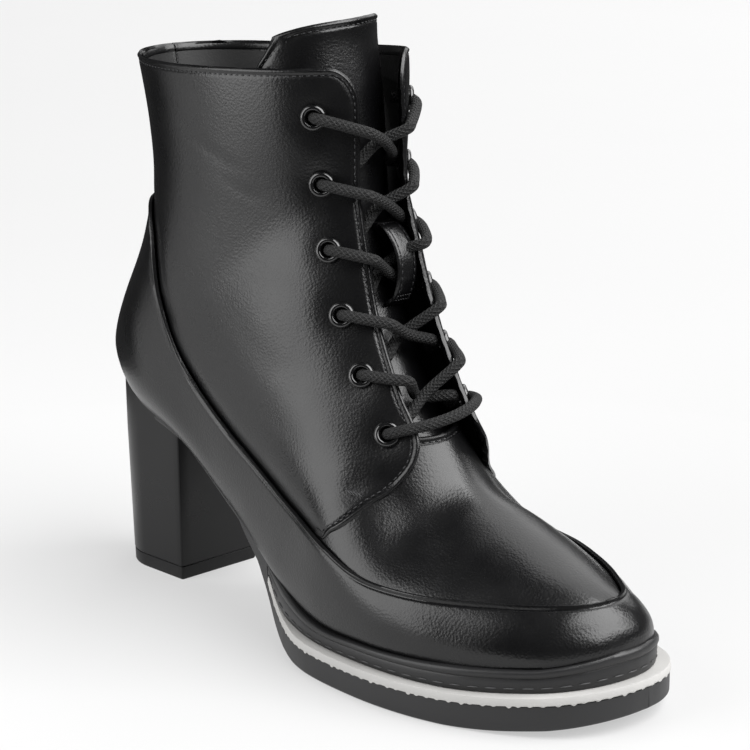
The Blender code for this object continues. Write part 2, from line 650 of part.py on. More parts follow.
def d_outline(back, breast, half):
    """D-shaped plan of the heel: flat breast, sides that turn into a round back."""
    turn = np.linspace(0, np.pi, HEEL_STEPS)
    depth = min(half, breast - back)
    straight = back + depth
    arc = [(straight - depth * np.sin(a), -half * np.cos(a)) for a in turn]
    return [(breast, -half + HEEL_CORNER), (breast - HEEL_CORNER, -half)] + arc + [
        (breast - HEEL_CORNER, half), (breast, half - HEEL_CORNER)]


def make_heel():
    solid = Solid("heel", RUBBER)
    low = d_outline(HEEL_BACK_BOTTOM, HEEL_BREAST_BOTTOM, HEEL_HALF_BOTTOM)
    top = d_outline(HEEL_BACK_TOP, HEEL_BREAST_TOP, HEEL_HALF_TOP)
    places = [place_at_x(max(x, FEATHER_VALUES["bottom_x"][-1])) for x, _ in top]
    x = section_at(places)["bottom_x"]
    seat = tread_height(x) - HEEL_SEAT_GAP
    rings = ([(*spot, 0.0) for spot in low], [(*spot, z) for spot, z in zip(top, seat)])
    count = len(low)
    ids = [[solid.point((r, k), rings[r][k]) for k in range(count)] for r in range(2)]
    for k in range(count):
        after = (k + 1) % count
        solid.face([ids[0][k], ids[0][after], ids[1][after], ids[1][k]])
    for r in range(2):
        for k in range(count // 2):
            solid.face([ids[r][k], ids[r][k + 1], ids[r][count - 2 - k], ids[r][count - 1 - k]])
    return solid.finish_object()


def tongue_point(rise, across):
    """A point of the tongue's outer face and its outward direction; across runs -1 to 1."""
    top = TONGUE[-1][0] + TONGUE_TOP_TILT * across - TONGUE_TOP_DROP * abs(across) ** TONGUE_TOP_ROUND
    height = TONGUE[0][0] + (top - TONGUE[0][0]) * rise
    place = np.interp(height, [row[0] for row in TONGUE], np.arange(len(TONGUE)))
    values = dict(zip(TONGUE_COLUMNS, catmull_rom(TONGUE, place)))
    heights = np.array((height - SLOPE_STEP, height, height + SLOPE_STEP))
    front = np.interp(heights, FRONT_LINE[:, 1], FRONT_LINE[:, 0])
    slope = np.array((front[2] - front[0], heights[2] - heights[0]))
    slope = slope / np.linalg.norm(slope)
    out = np.array((slope[1], -slope[0])) if height < FRONT_LINE[-1, 1] else np.array((1.0, 0.0))
    angle = across * values["half_width"] / values["radius"]
    depth = values["depth"] + values["radius"] * (1 - np.cos(angle))
    spot = np.array((front[1] - out[0] * depth, values["radius"] * np.sin(angle), height - out[1] * depth))
    facing = np.array((out[0] * np.cos(angle), np.sin(angle), out[1] * np.cos(angle)))
    return spot, facing


def make_tongue():
    solid = Solid("tongue", LEATHER)
    rows, columns = TONGUE_ROWS, TONGUE_STRIPS
    ids = {}
    for r in range(rows + 1):
        for c in range(columns + 1):
            spot, facing = tongue_point(r / rows, 2 * c / columns - 1)
            ids[r, c, 0] = solid.point((r, c, 0), spot)
            ids[r, c, 1] = solid.point((r, c, 1), spot - facing * TONGUE_THICKNESS)
    for r in range(rows):
        for c in range(columns):
            for face in (0, 1):
                solid.face([ids[r, c, face], ids[r, c + 1, face],
                            ids[r + 1, c + 1, face], ids[r + 1, c, face]])
    for r in range(rows):
        for c in (0, columns):
            solid.face([ids[r, c, 0], ids[r + 1, c, 0], ids[r + 1, c, 1], ids[r, c, 1]])
    for c in range(columns):
        for r in (0, rows):
            solid.face([ids[r, c, 0], ids[r, c + 1, 0], ids[r, c + 1, 1], ids[r, c, 1]])
    return solid.finish_object()


def front_point(y, z, rise):
    """A spot beside the front line, y from its middle and lifted off the base surface; its normal."""

    def base(y, z):
        x = np.interp(z, FRONT_LINE[:, 1], FRONT_LINE[:, 0]) - np.linspace(0, FRONT_REACH, CURVE_SAMPLES)
        half, centre = half_and_centre(x, np.full_like(x, z))
        return np.array((np.interp(abs(y), half, x), np.interp(abs(y), half, centre) + y, z))

    across = base(y + SLOPE_STEP / 2, z) - base(y - SLOPE_STEP / 2, z)
    normal = np.cross(across, base(y, z + SLOPE_STEP / 2) - base(y, z - SLOPE_STEP / 2))
    normal = normal / np.linalg.norm(normal)
    return base(y, z) + normal * rise, normal


def quarter_point(y, z, rise):
    """A spot over a quarter's outer face beside the throat, and the normal there."""
    lift = flap_lift(front_point(y, z, 0.0)[0])
    return front_point(y, z, PANEL_RISE["quarter"] + lift + rise)


def turned(solid, middle, axis, profile, closed):
    """Turns a profile of (radius, height) points about an axis; an open one is capped at its ends."""
    aside = np.cross(axis, (0, 0, 1))
    aside = aside / np.linalg.norm(aside)
    over = np.cross(axis, aside)
    rings = []
    for n, (radius, height) in enumerate(profile):
        ring = []
        for k in range(EYELET_SIDES):
            angle = 2 * np.pi * k / EYELET_SIDES
            spot = middle + axis * height + radius * (aside * np.cos(angle) + over * np.sin(angle))
            ring.append(solid.point((tuple(middle), n, k), spot))
        rings.append(ring)
    bands = list(zip(rings, rings[1:])) + ([(rings[-1], rings[0])] if closed else [])
    for first, second in bands:
        for k in range(EYELET_SIDES):
            after = (k + 1) % EYELET_SIDES
            solid.face([first[k], first[after], second[after], second[k]])
    if not closed:
        solid.face(rings[0])
        solid.face(rings[-1])


def make_eyelets(upper):
    """Cuts the eyelet holes in the upper and sets a rolled ring in each."""
    holes = Solid("eyelet_holes", EYELET_METAL)
    for side, side_name in ((-1, "outer"), (1, "inner")):
        for row, (half, z) in enumerate(EYELETS):
            middle, normal = quarter_point(side * half, z, 0.0)
            turned(holes, middle, normal,
                   ((EYELET_HOLE_RADIUS, -EYELET_HOLE_DEPTH), (EYELET_HOLE_RADIUS, EYELET_HOLE_DEPTH)), False)
            ring = Solid(f"eyelet_{side_name}_{row + 1}", EYELET_METAL)
            turned(ring, middle, normal, EYELET_PROFILE, True)
            ring.finish_object()
    join(upper, holes.finish_object(), "DIFFERENCE")


def join(piece, tool, operation):
    """Boolean of a piece with a hidden tool object."""
    tool.hide_render = True
    tool.display_type = "WIRE"
    change = piece.modifiers.new(operation.lower(), "BOOLEAN")
    change.object = tool
    change.operation = operation
    change.solver = "EXACT"


def make_lace(name, path):
    solid = Solid(name, CORD)
    path = np.asarray(path)
    rings = []
    for n, (spot, run) in enumerate(zip(path, np.gradient(path, axis=0))):
        aside = np.cross(run, (0, 0, 1))
        aside = aside / np.linalg.norm(aside)
        over = np.cross(aside, run / np.linalg.norm(run))
        angles = 2 * np.pi * np.arange(LACE_SIDES) / LACE_SIDES
        rings.append([solid.point((n, k), spot + LACE_RADIUS * (aside * np.cos(a) + over * np.sin(a)))
                      for k, a in enumerate(angles)])
    for first, second in zip(rings, rings[1:]):
        for k in range(LACE_SIDES):
            after = (k + 1) % LACE_SIDES
            solid.face([first[k], first[after], second[after], second[k]])
    solid.face(rings[0])
    solid.face(rings[-1])
    return solid.finish_object()


LACE_UNDER = WALL_INSIDE - LACE_UNDER_GAP - LACE_RADIUS
LACE_OVER = LACE_OVER_GAP + LACE_RADIUS


def lace_run(row, side):
    """Path from under one throat edge, across, and over the other edge towards an eyelet."""
    (end_half, end_z), (start_half, start_z) = EYELETS[row], EYELETS[row + 1]
    depth, climb_at, climb = CROSSINGS[row]
    edge_lift = flap_lift(front_point(side * THROAT_HALF_GAP, end_z, 0.0)[0])
    end_lift = flap_lift(front_point(side * (end_half - LACE_SHORT), end_z, 0.0)[0])
    stops = ((-THROAT_HALF_GAP - LACE_HIDDEN, LACE_UNDER), (-THROAT_HALF_GAP, LACE_UNDER),
             (0.0, -depth), (climb_at, climb + edge_lift),
             (THROAT_HALF_GAP, LACE_OVER + LACE_EDGE_LIFT + edge_lift),
             (end_half - LACE_SHORT, LACE_OVER + end_lift))
    path = []
    for y, rise in catmull_rom(stops, np.linspace(0, len(stops) - 1, LACE_STATIONS)):
        fall = (end_half - y) / (end_half + start_half)
        path.append(front_point(side * y, end_z - (end_z - start_z) * fall ** 2, rise)[0])
    return path


def make_laces():
    """A crossing between each two rows of eyelets, and a bar across the lowest row."""
    for row in range(len(EYELETS) - 1):
        crossing = make_lace(f"lace_cross_{row + 1}", lace_run(row, -1))
        join(crossing, make_lace(f"lace_run_{row + 1}", lace_run(row, 1)), "UNION")
    half, z = EYELETS[-1]
    ends = [quarter_point(y, z, LACE_OVER)[0]
            for y in (LACE_SHORT - half, -THROAT_HALF_GAP, THROAT_HALF_GAP, half - LACE_SHORT)]
    make_lace("lace_bar", catmull_rom(ends, np.linspace(0, len(ends) - 1, LACE_STATIONS)))


def make_pull_loop():
    """A leather strap sewn to the tongue at both ends, arched over the third crossing."""
    solid = Solid("pull_loop", LEATHER)
    rings = []
    for n in range(LOOP_STATIONS + 1):
        share = n / LOOP_STATIONS
        height = LOOP_LOW + (LOOP_HIGH - LOOP_LOW) * share
        spot, facing = tongue_point((height - TONGUE[0][0]) / (TONGUE[-1][0] - TONGUE[0][0]), 0.0)
        lift = CLEARANCE + LOOP_ARCH * np.sin(np.pi * share) ** LOOP_FULLNESS
        corners = ((-1, lift), (1, lift), (1, lift + LOOP_THICKNESS), (-1, lift + LOOP_THICKNESS))
        rings.append([solid.point((n, k), spot + facing * rise + np.array((0, side * LOOP_HALF_WIDTH, 0)))
                      for k, (side, rise) in enumerate(corners)])
    for first, second in zip(rings, rings[1:]):
        for k in range(4):
            solid.face([first[k], first[(k + 1) % 4], second[(k + 1) % 4], second[k]])
    solid.face(rings[0])
    solid.face(rings[-1])
    return solid.finish_object()


def main():
    for old in list(bpy.data.objects):
        bpy.data.objects.remove(old)
    make_outsole()
    make_welt()
    make_midsole()
    make_heel()
    make_insole()
    make_eyelets(make_upper())
    make_tongue()
    make_pull_loop()
    make_laces()


main()
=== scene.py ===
"""Looks of a heeled lace-up ankle boot for the right foot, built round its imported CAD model.

Sizes are millimetres in the boot's own frame, as on the maker's drawing: x runs from the back of
the heel to the toe, y to the inner side of the foot and z up from the ground.
"""
import math

import bmesh
import bpy
import numpy as np
from mathutils import Matrix, Vector
from mathutils.kdtree import KDTree


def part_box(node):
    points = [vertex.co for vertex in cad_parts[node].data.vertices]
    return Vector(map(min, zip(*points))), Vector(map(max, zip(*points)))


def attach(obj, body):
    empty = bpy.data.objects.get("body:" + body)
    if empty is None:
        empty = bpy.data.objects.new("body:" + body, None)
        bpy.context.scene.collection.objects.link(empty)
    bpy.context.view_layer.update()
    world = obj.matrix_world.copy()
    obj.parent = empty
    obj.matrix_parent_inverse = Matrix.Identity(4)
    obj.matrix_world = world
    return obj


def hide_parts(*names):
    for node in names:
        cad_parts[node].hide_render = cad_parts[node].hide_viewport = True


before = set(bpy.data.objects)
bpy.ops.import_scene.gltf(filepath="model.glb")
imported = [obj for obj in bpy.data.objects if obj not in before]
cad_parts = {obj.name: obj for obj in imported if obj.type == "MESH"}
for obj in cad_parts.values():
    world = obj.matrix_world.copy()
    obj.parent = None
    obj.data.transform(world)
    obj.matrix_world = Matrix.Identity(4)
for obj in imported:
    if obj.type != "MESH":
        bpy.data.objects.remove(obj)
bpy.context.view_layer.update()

# Vamp: one piece of smooth black corrected-grain leather, drawn over the last from the toe apron
# to the throat. Its top edge is turned and stitched; the other edges run under the mudguard and
# the quarters. Its shape is the last's, so the last's sections come first.
MILLIMETRE = 0.001
HEEL_BACK_X = 4.4
heel_low, heel_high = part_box("heel")
ORIGIN = np.array((HEEL_BACK_X - heel_low.x / MILLIMETRE,
                   -(heel_low.y + heel_high.y) / 2 / MILLIMETRE, 0.0))
SECTION_COLUMNS = ("top_x", "top_z", "bottom_x", "bottom_z", "half_width", "bottom_half",
                   "widest_at", "crown", "centre_y", "flank_hollow")
SECTIONS = (
    (217.0, 39.6, 217.0, 19.3, 24.4, 24.8, 0.12, 1.6, -1.8, 0.5),
    (206.0, 43.8, 206.0, 18.4, 31.0, 31.2, 0.13, 1.7, -1.6, 1.5),
    (194.0, 48.4, 194.0, 17.6, 36.2, 36.2, 0.14, 1.8, -1.3, 3.0),
    (179.0, 54.4, 179.0, 16.8, 40.8, 39.6, 0.16, 2.0, -1.2, 6.0),
    (165.5, 62.0, 161.0, 16.3, 42.4, 40.2, 0.20, 2.0, -1.6, 10.5),
    (152.0, 81.0, 138.0, 16.4, 39.6, 37.2, 0.26, 2.0, -2.5, 8.5),
    (143.0, 97.6, 112.0, 22.3, 34.4, 30.2, 0.32, 2.0, -2.0, 4.0),
    (136.0, 114.0, 82.0, 37.6, 31.3, 23.6, 0.38, 2.1, -0.8, 1.5),
    (130.8, 134.0, 50.0, 55.0, 31.0, 22.0, 0.42, 2.2, 0.0, 0.5),
    (128.8, 144.0, 20.0, 61.2, 31.0, 18.6, 0.44, 2.3, 0.3, 0.0),
    (128.6, 146.0, 12.0, 62.2, 31.0, 14.2, 0.44, 2.3, 0.3, 0.0),
    (128.4, 147.7, 7.5, 62.8, 31.0, 7.6, 0.44, 2.3, 0.4, 0.0),
    (128.3, 149.0, 6.0, 63.0, 31.0, 0.01, 0.44, 2.3, 0.4, 0.0),
    (127.9, 153.0, 2.8, 77.0, 31.5, 0.01, 0.45, 2.3, 0.5, 0.0),
    (127.6, 159.0, 9.8, 96.0, 31.5, 0.01, 0.46, 2.3, 0.6, 0.0),
    (127.3, 166.0, 20.0, 115.0, 31.8, 0.01, 0.47, 2.3, 0.7, 0.0),
    (126.9, 174.0, 26.4, 137.0, 32.6, 0.01, 0.48, 2.3, 0.8, 0.0),
    (126.3, 182.0, 25.8, 160.0, 33.8, 0.01, 0.48, 2.3, 0.8, 0.0),
    (124.8, 194.0, 20.0, 189.0, 35.5, 0.01, 0.48, 2.3, 0.8, 0.0),
)
HEEL_SEAT_SECTION = 12
TOE_TIP_X, TOE_TIP_Y, TOE_TIP_Z = 232.0, 1.0, 23.0
TOE_ANGLES = (0.4, 12.0, 24.0, 36.0, 48.0)
TOE_START_ANGLE = 60.0
TOE_TOP_ROUND, TOE_BOTTOM_ROUND, TOE_CROWN_GAIN = 0.95, 1.8, 0.5
FLANK_TOP, FLANK_SWELL, FLANK_RIDGE, TURN_UNDER = 0.72, 1.6, 8.0, 2.2
SECTION_SAMPLES, CURVE_SAMPLES = 24, 240
POINTS_AT_ONCE = 4000


def catmull_rom(rows, place):
    """Smooth values of a table at fractional row numbers."""
    table = np.asarray(rows, float)
    place = np.clip(np.asarray(place, float), 0, len(table) - 1)
    row = np.minimum(place.astype(int), len(table) - 2)
    f = (place - row)[..., None]
    here, after = table[row], table[row + 1]
    before = np.where((row > 0)[..., None], table[np.maximum(row - 1, 0)], 2 * here - after)
    beyond = np.where((row < len(table) - 2)[..., None],
                      table[np.minimum(row + 2, len(table) - 1)], 2 * after - here)
    return 0.5 * (2 * here + (after - before) * f
                  + (2 * before - 5 * here + 4 * after - beyond) * f ** 2
                  + (3 * here - before - 3 * after + beyond) * f ** 3)


def toe_sections():
    """Sections that round the toe off from the first row of the table to the tip."""
    first = dict(zip(SECTION_COLUMNS, SECTIONS[0]))
    rows = []
    for angle in np.radians(TOE_ANGLES):
        turn = np.sin(angle) / np.sin(np.radians(TOE_START_ANGLE))
        reach = (1 - np.cos(angle)) / (1 - np.cos(np.radians(TOE_START_ANGLE)))
        x = TOE_TIP_X - (TOE_TIP_X - first["top_x"]) * reach
        rows.append((x, TOE_TIP_Z + (first["top_z"] - TOE_TIP_Z) * turn ** TOE_TOP_ROUND,
                     x, TOE_TIP_Z + (first["bottom_z"] - TOE_TIP_Z) * turn ** TOE_BOTTOM_ROUND,
                     first["half_width"] * turn, first["bottom_half"] * turn,
                     first["widest_at"], first["crown"] + TOE_CROWN_GAIN * (1 - turn),
                     first["centre_y"] + (TOE_TIP_Y - first["centre_y"]) * (1 - turn),
                     first["flank_hollow"] * turn))
    return rows


ALL_SECTIONS = toe_sections() + list(SECTIONS)
HEEL_SEAT = len(TOE_ANGLES) + HEEL_SEAT_SECTION
LAST_PLACE = len(ALL_SECTIONS) - 1


def last_rows(place):
    """Rows of the last at fractional row numbers; the heel seat is a corner between two smooth runs."""
    place = np.asarray(place, float)
    before = catmull_rom(ALL_SECTIONS[:HEEL_SEAT + 1], place)
    after = catmull_rom(ALL_SECTIONS[HEEL_SEAT:], place - HEEL_SEAT)
    return np.where((place < HEEL_SEAT)[..., None], before, after)


FINE_PLACES = np.linspace(0, LAST_PLACE, LAST_PLACE * SECTION_SAMPLES + 1)
FINE_TABLE = last_rows(FINE_PLACES)
FRONT_LINE = FINE_TABLE[:, 0:2]
BACK_LINE = FINE_TABLE[FINE_PLACES >= HEEL_SEAT, 2:4]


def section_at(place):
    """Named values of the section at a fractional row number."""
    values = last_rows(np.atleast_1d(place))
    return {name: values[..., column] for column, name in enumerate(SECTION_COLUMNS)}


def place_through(x, z):
    """Row number of the section that passes through points of the side view."""
    top, bottom = FINE_TABLE[:, 0:2], FINE_TABLE[:, 2:4]
    run = top - bottom
    side = run[:, 0] * (z[:, None] - bottom[:, 1]) - run[:, 1] * (x[:, None] - bottom[:, 0])
    crossing = (side[:, :-1] > 0) & (side[:, 1:] <= 0)
    found = crossing.any(axis=1)
    at = np.argmax(crossing, axis=1)
    point = np.arange(len(x))
    before, after = side[point, at], side[point, at + 1]
    step = FINE_PLACES[1] * before / np.where(found, before - after, 1.0)
    ends = np.where(side[:, -1] > 0, FINE_PLACES[-1], FINE_PLACES[0])
    return np.where(found, FINE_PLACES[at] + step, ends)


def half_and_centre(x, z):
    """Half width of the last and the y of its middle at points of the side view."""
    x, z = np.asarray(x, float), np.asarray(z, float)
    pieces = [place_through(x[k:k + POINTS_AT_ONCE], z[k:k + POINTS_AT_ONCE])
              for k in range(0, len(x), POINTS_AT_ONCE)]
    part = section_at(np.concatenate(pieces))
    run_x, run_z = part["top_x"] - part["bottom_x"], part["top_z"] - part["bottom_z"]
    along = (x - part["bottom_x"]) * run_x + (z - part["bottom_z"]) * run_z
    s = np.clip(along / (run_x ** 2 + run_z ** 2), 0, 1)
    up = np.clip((s - part["widest_at"]) / (1 - part["widest_at"]), 0, 1)
    down = np.clip(1 - s / part["widest_at"], 0, 1)
    above = part["half_width"] * np.sqrt(1 - up ** part["crown"])
    flank = np.sin(np.pi / 2 * np.minimum(up / FLANK_TOP, 1) ** FLANK_SWELL) ** 2
    above = above - part["flank_hollow"] * flank * np.sqrt(1 - up ** FLANK_RIDGE)
    below = part["half_width"] - part["bottom_half"]
    below = part["bottom_half"] + below * np.sqrt(1 - down ** TURN_UNDER)
    return np.where(s > part["widest_at"], above, below), part["centre_y"]


# The upper's panels are cut along three lines round the last: the feather line at the sole, the
# mudguard's seam and the collar. A level of 0, 1 or 2 lies on one of them.
SEAM_FRONT_Z, SEAM_BACK_Z = 36.4, 137.0
MUDGUARD_SEAM = ((207.0, 35.7), (180.0, 35.2), (160.0, 36.8), (140.0, 43.6), (114.0, 52.6),
                 (85.0, 67.0), (61.0, 86.5), (52.5, 104.0), (47.0, 122.5), (38.0, 133.8))
COLLAR_FRONT_Z, COLLAR_BACK_Z = 188.0, 184.5
COLLAR_LINE = ((100.0, 186.4), (60.0, 184.6))
COLLAR_INNER_RISE, COLLAR_RISE_SPREAD, COLLAR_LEAN = 2.3, 0.03, 1.3


def path_length(points):
    """Running length along a line of points, starting at zero."""
    steps = np.linalg.norm(np.diff(points, axis=0), axis=1)
    return np.concatenate(([0.0], np.cumsum(steps)))


def read_rows(at, running, rows):
    """Rows of values along a line, read at running lengths or shares."""
    return np.column_stack([np.interp(at, running, column) for column in np.asarray(rows).T])


class SideCurve:
    """A curve of the side view, read by the share of its length on the boot's surface."""

    def __init__(self, points, half=None):
        self.points = np.asarray(points, float)
        if half is None:
            half = half_and_centre(self.points[:, 0], self.points[:, 1])[0]
        length = path_length(np.column_stack((self.points, half)))
        self.share = length / length[-1]
        self.length = length[-1]

    def at(self, share):
        return read_rows(share, self.share, self.points)


def smooth_curve(front, middle, back):
    """A side-view curve from the front line through a few points to the back line."""
    knots = [tuple(front)] + list(middle) + [tuple(back)]
    return catmull_rom(knots, np.linspace(0, len(knots) - 1, CURVE_SAMPLES))


def stretch(line, low, high):
    """The stretch of a rising side-view line between two heights."""
    heights = np.linspace(low, high, CURVE_SAMPLES)
    points = np.column_stack((np.interp(heights, line[:, 1], line[:, 0]), heights))
    return SideCurve(points, np.zeros(len(points)))


FEATHER_PLACES = np.linspace(0, HEEL_SEAT, 2 * CURVE_SAMPLES)
FEATHER_VALUES = section_at(FEATHER_PLACES)
FEATHER = SideCurve(np.column_stack((FEATHER_VALUES["bottom_x"], FEATHER_VALUES["bottom_z"])),
                    FEATHER_VALUES["bottom_half"])
TOE_FRONT = stretch(FRONT_LINE, TOE_TIP_Z, SEAM_FRONT_Z)
UPPER_FRONT = stretch(FRONT_LINE, SEAM_FRONT_Z, COLLAR_FRONT_Z)
COUNTER_BACK = stretch(BACK_LINE, BACK_LINE[0, 1], SEAM_BACK_Z)
UPPER_BACK = stretch(BACK_LINE, SEAM_BACK_Z, COLLAR_BACK_Z)
SEAM = SideCurve(smooth_curve(UPPER_FRONT.points[0], MUDGUARD_SEAM, UPPER_BACK.points[0]))
COLLAR = SideCurve(smooth_curve(UPPER_FRONT.points[-1], COLLAR_LINE, UPPER_BACK.points[-1]))


def ease(share):
    """Falls softly from 1 at a share of 0 to 0 at a share of 1."""
    return (1 - share) ** 2 * (1 + 2 * share)


def fade(value, full, end):
    """1 up to full, falling softly to 0 at end."""
    return ease(np.clip((value - full) / (end - full), 0, 1))


def collar_share(share):
    """Share along the collar over a share of the seam."""
    return share - COLLAR_LEAN * share ** 2 * (1 - share)


def last_points(level, along):
    """Spots on the last. along is 0 at the front, -1 and 1 at the back by the outer and inner side."""
    level, along = np.broadcast_arrays(np.atleast_1d(np.asarray(level, float)),
                                       np.atleast_1d(np.asarray(along, float)))
    past = np.abs(along) > 1
    share = np.where(past, 2 - np.abs(along), np.abs(along))
    side = np.where((along < 0) ^ past, -1.0, 1.0)
    lower = (level < 1)[:, None]
    t = np.where(level < 1, level, level - 1)[:, None]

    def pick(first, second, at):
        return np.where(lower, first.at(at), second.at(at))

    def bow(first, second):
        ends = [pick(first, second, np.full(len(share), end)) for end in (0.0, 1.0)]
        return pick(first, second, t[:, 0]) - ends[0] * (1 - t) - ends[1] * t

    top = np.where(lower, SEAM.at(share), COLLAR.at(collar_share(share)))
    spot = pick(FEATHER, SEAM, share) * (1 - t) + top * t
    spot = spot + bow(TOE_FRONT, UPPER_FRONT) * ease(share)[:, None]
    spot = spot + bow(COUNTER_BACK, UPPER_BACK) * ease(1 - share)[:, None]
    tilt = side * COLLAR_INNER_RISE * (1 - share) * (1 - np.exp(-share / COLLAR_RISE_SPREAD))
    height = spot[:, 1] + np.where(level > 1, tilt * t[:, 0] ** 2, 0)
    half, centre = half_and_centre(spot[:, 0], height)
    return np.column_stack((spot[:, 0], centre + side * half, height))


NORMAL_STEP, PATCH_TOP = 0.003, 0.9999
NO_LENGTH = 1e-9


def unit(directions):
    """Directions with a length of 1."""
    return directions / np.maximum(np.linalg.norm(directions, axis=-1, keepdims=True), NO_LENGTH)


def last_normals(level, along):
    """Outward directions of the last's surface."""
    level, along = np.broadcast_arrays(level, along)
    patch = np.where(level < 1, 0.0, 1.0)
    round_step = last_points(level, along + NORMAL_STEP) - last_points(level, along - NORMAL_STEP)
    up_step = (last_points(np.clip(level + NORMAL_STEP, patch, patch + PATCH_TOP), along)
               - last_points(np.clip(level - NORMAL_STEP, patch, patch + PATCH_TOP), along))
    return unit(np.cross(round_step, up_step))


# The quarters' front edges bound the vamp: they run along the throat, then sweep to the mudguard.
THROAT_HALF_GAP, THROAT_BASE_Z, THROAT_SHARE_LIMIT = 9.3, 69.0, 0.3
COLLAR_CORNER = 13.0
# Foot of the edge, from the mudguard up round its tip to the throat: level and share.
QUARTER_FOOT = ((0.9, 0.42), (1.0, 0.365), (1.1, 0.309), (1.19, 0.238), (1.25, 0.18), (1.295, 0.122),
                (1.335, 0.075), (1.36, 0.056), (1.385, 0.046), (1.41, 0.0436), (1.45, 0.0452))
FOOT_CURVE = catmull_rom(QUARTER_FOOT, np.linspace(0, len(QUARTER_FOOT) - 1, CURVE_SAMPLES))


def share_at_half(level, half_gap):
    """Share along a level at which the surface lies half_gap from the front line."""
    shares = np.linspace(0, THROAT_SHARE_LIMIT, CURVE_SAMPLES)
    points = last_points(level, -shares)
    half = half_and_centre(points[:, 0], points[:, 2])[0]
    return float(np.interp(half_gap, half, shares))


def front_edge_share(level):
    """Share of the quarters' front edge at one level, on its foot, the throat or the collar's corner."""
    if level < QUARTER_FOOT[-1][0]:
        return float(np.interp(level, FOOT_CURVE[:, 0], FOOT_CURVE[:, 1]))
    drop = min((2 - level) * UPPER_FRONT.length, COLLAR_CORNER)
    back = COLLAR_CORNER - np.sqrt(COLLAR_CORNER ** 2 - (COLLAR_CORNER - drop) ** 2)
    return share_at_half(level, THROAT_HALF_GAP) + back / COLLAR.length


CORNER_START = 2 - COLLAR_CORNER / UPPER_FRONT.length
EDGE_COUNT, EDGE_CORNER_COUNT = 120, 90


def levels_to_collar(low, count, corner_count):
    """Levels from low up to the collar, closer together round the corner."""
    corner = 2 - (2 - CORNER_START) * np.linspace(1, 0, corner_count)[1:] ** 2
    return np.concatenate((np.linspace(low, CORNER_START, count), corner))


EDGE_LEVELS = levels_to_collar(QUARTER_FOOT[0][0], EDGE_COUNT, EDGE_CORNER_COUNT)
EDGE_SHARES = np.array([front_edge_share(level) for level in EDGE_LEVELS])


def quarter_edge(level):
    """Share of the quarters' front edge at each level."""
    return np.interp(level, EDGE_LEVELS, EDGE_SHARES)


# Turned edges: the leather rolls over at the edge and is drawn down by a row of stitches.
ROLL_WIDTH, ROLL_DROP = 0.8, 0.7
BEAD_AT, BEAD_WIDTH, BEAD_HEIGHT = 0.9, 0.5, 0.2
STITCH_INSET, GROOVE_WIDTH, GROOVE_DEPTH = 2.1, 0.5, 0.3
FADE_ROWS = 16
# Distances of a grid's first rows from its edge, close over the roll.
EDGE_ROWS = np.array((0.0, 0.2, 0.45, 0.75, 1.1, 1.5, 1.9, 2.25, 2.6, 2.95, 3.3, 3.8, 4.6))
CREASE_POINTS = 60


def nearest(spots, line):
    """For each spot the number of the closest point of a line, and its distance."""
    tree = KDTree(len(line))
    for k, spot in enumerate(line):
        tree.insert(spot, k)
    tree.balance()
    found = [tree.find(spot)[1:] for spot in spots]
    return np.array([k for k, _ in found]), np.array([distance for _, distance in found])


def edge_distance(spots, edge):
    """Distance of each spot from a line of closely spaced edge points."""
    return nearest(spots, edge)[1]


def swell(distance, width, middle=0.0):
    """A soft hump, 1 high at its middle."""
    return np.exp(-((distance - middle) / width) ** 2)


def turned_edge(distance):
    """Height of the leather beside a turned and stitched edge."""
    roll = -ROLL_DROP * np.clip(1 - distance / ROLL_WIDTH, 0, 1) ** 2
    bead = BEAD_HEIGHT * swell(distance, BEAD_WIDTH, BEAD_AT)
    return roll + bead - GROOVE_DEPTH * swell(distance, GROOVE_WIDTH, STITCH_INSET)


def from_edge(share, count, length):
    """Distance from an edge of the share-th of count rows: close over the roll, then even."""
    row = np.rint(share * count)
    close = len(EDGE_ROWS) - 1
    even = EDGE_ROWS[-1] + (row - close) / (count - close) * (length - EDGE_ROWS[-1])
    return np.where(row <= close, EDGE_ROWS[np.minimum(row, close).astype(int)], even)


def reworked(spots, u, v, work):
    """Hands a grid's spots to work() in rows and columns, and puts them back in their own order."""
    order = np.lexsort((np.round(u, 6), np.round(v, 6)))
    columns = len(np.unique(np.round(u, 6)))
    result = np.empty_like(spots)
    result[order] = work(spots[order].reshape(-1, columns, 3)).reshape(-1, 3)
    return result


def evened(spots, u, v, passes):
    """Sands the small unevenness out of the middle of a grid of spots, away from its edges."""

    def sand(sheet):
        near = [np.minimum(np.arange(count), np.arange(count)[::-1]) for count in sheet.shape[:2]]
        inside = np.minimum.outer(near[0], near[1]) - len(EDGE_ROWS)
        freedom = 1 - fade(inside, 0, FADE_ROWS)
        for _ in range(passes):
            beside = sheet[:-2, 1:-1] + sheet[2:, 1:-1] + sheet[1:-1, :-2] + sheet[1:-1, 2:]
            sheet[1:-1, 1:-1] += freedom[1:-1, 1:-1, None] * (beside / 4 - sheet[1:-1, 1:-1]) / 2
        return sheet

    return reworked(spots, u, v, sand)


def crease_depth(spots, creases):
    """Soft troughs along lines of (level, along) points; a negative depth makes a ridge."""
    height = np.zeros(len(spots))
    for line, depth, width in creases:
        run = catmull_rom(line, np.linspace(0, len(line) - 1, CREASE_POINTS))
        number, distance = nearest(spots, last_points(run[:, 0], run[:, 1]))
        taper = np.sin(np.pi * (number + 0.5) / CREASE_POINTS)
        height -= depth * taper * swell(distance, width)
    return height


def metres(spots):
    """Spots of the boot's own frame as places in the scene."""
    return (spots - ORIGIN) * MILLIMETRE


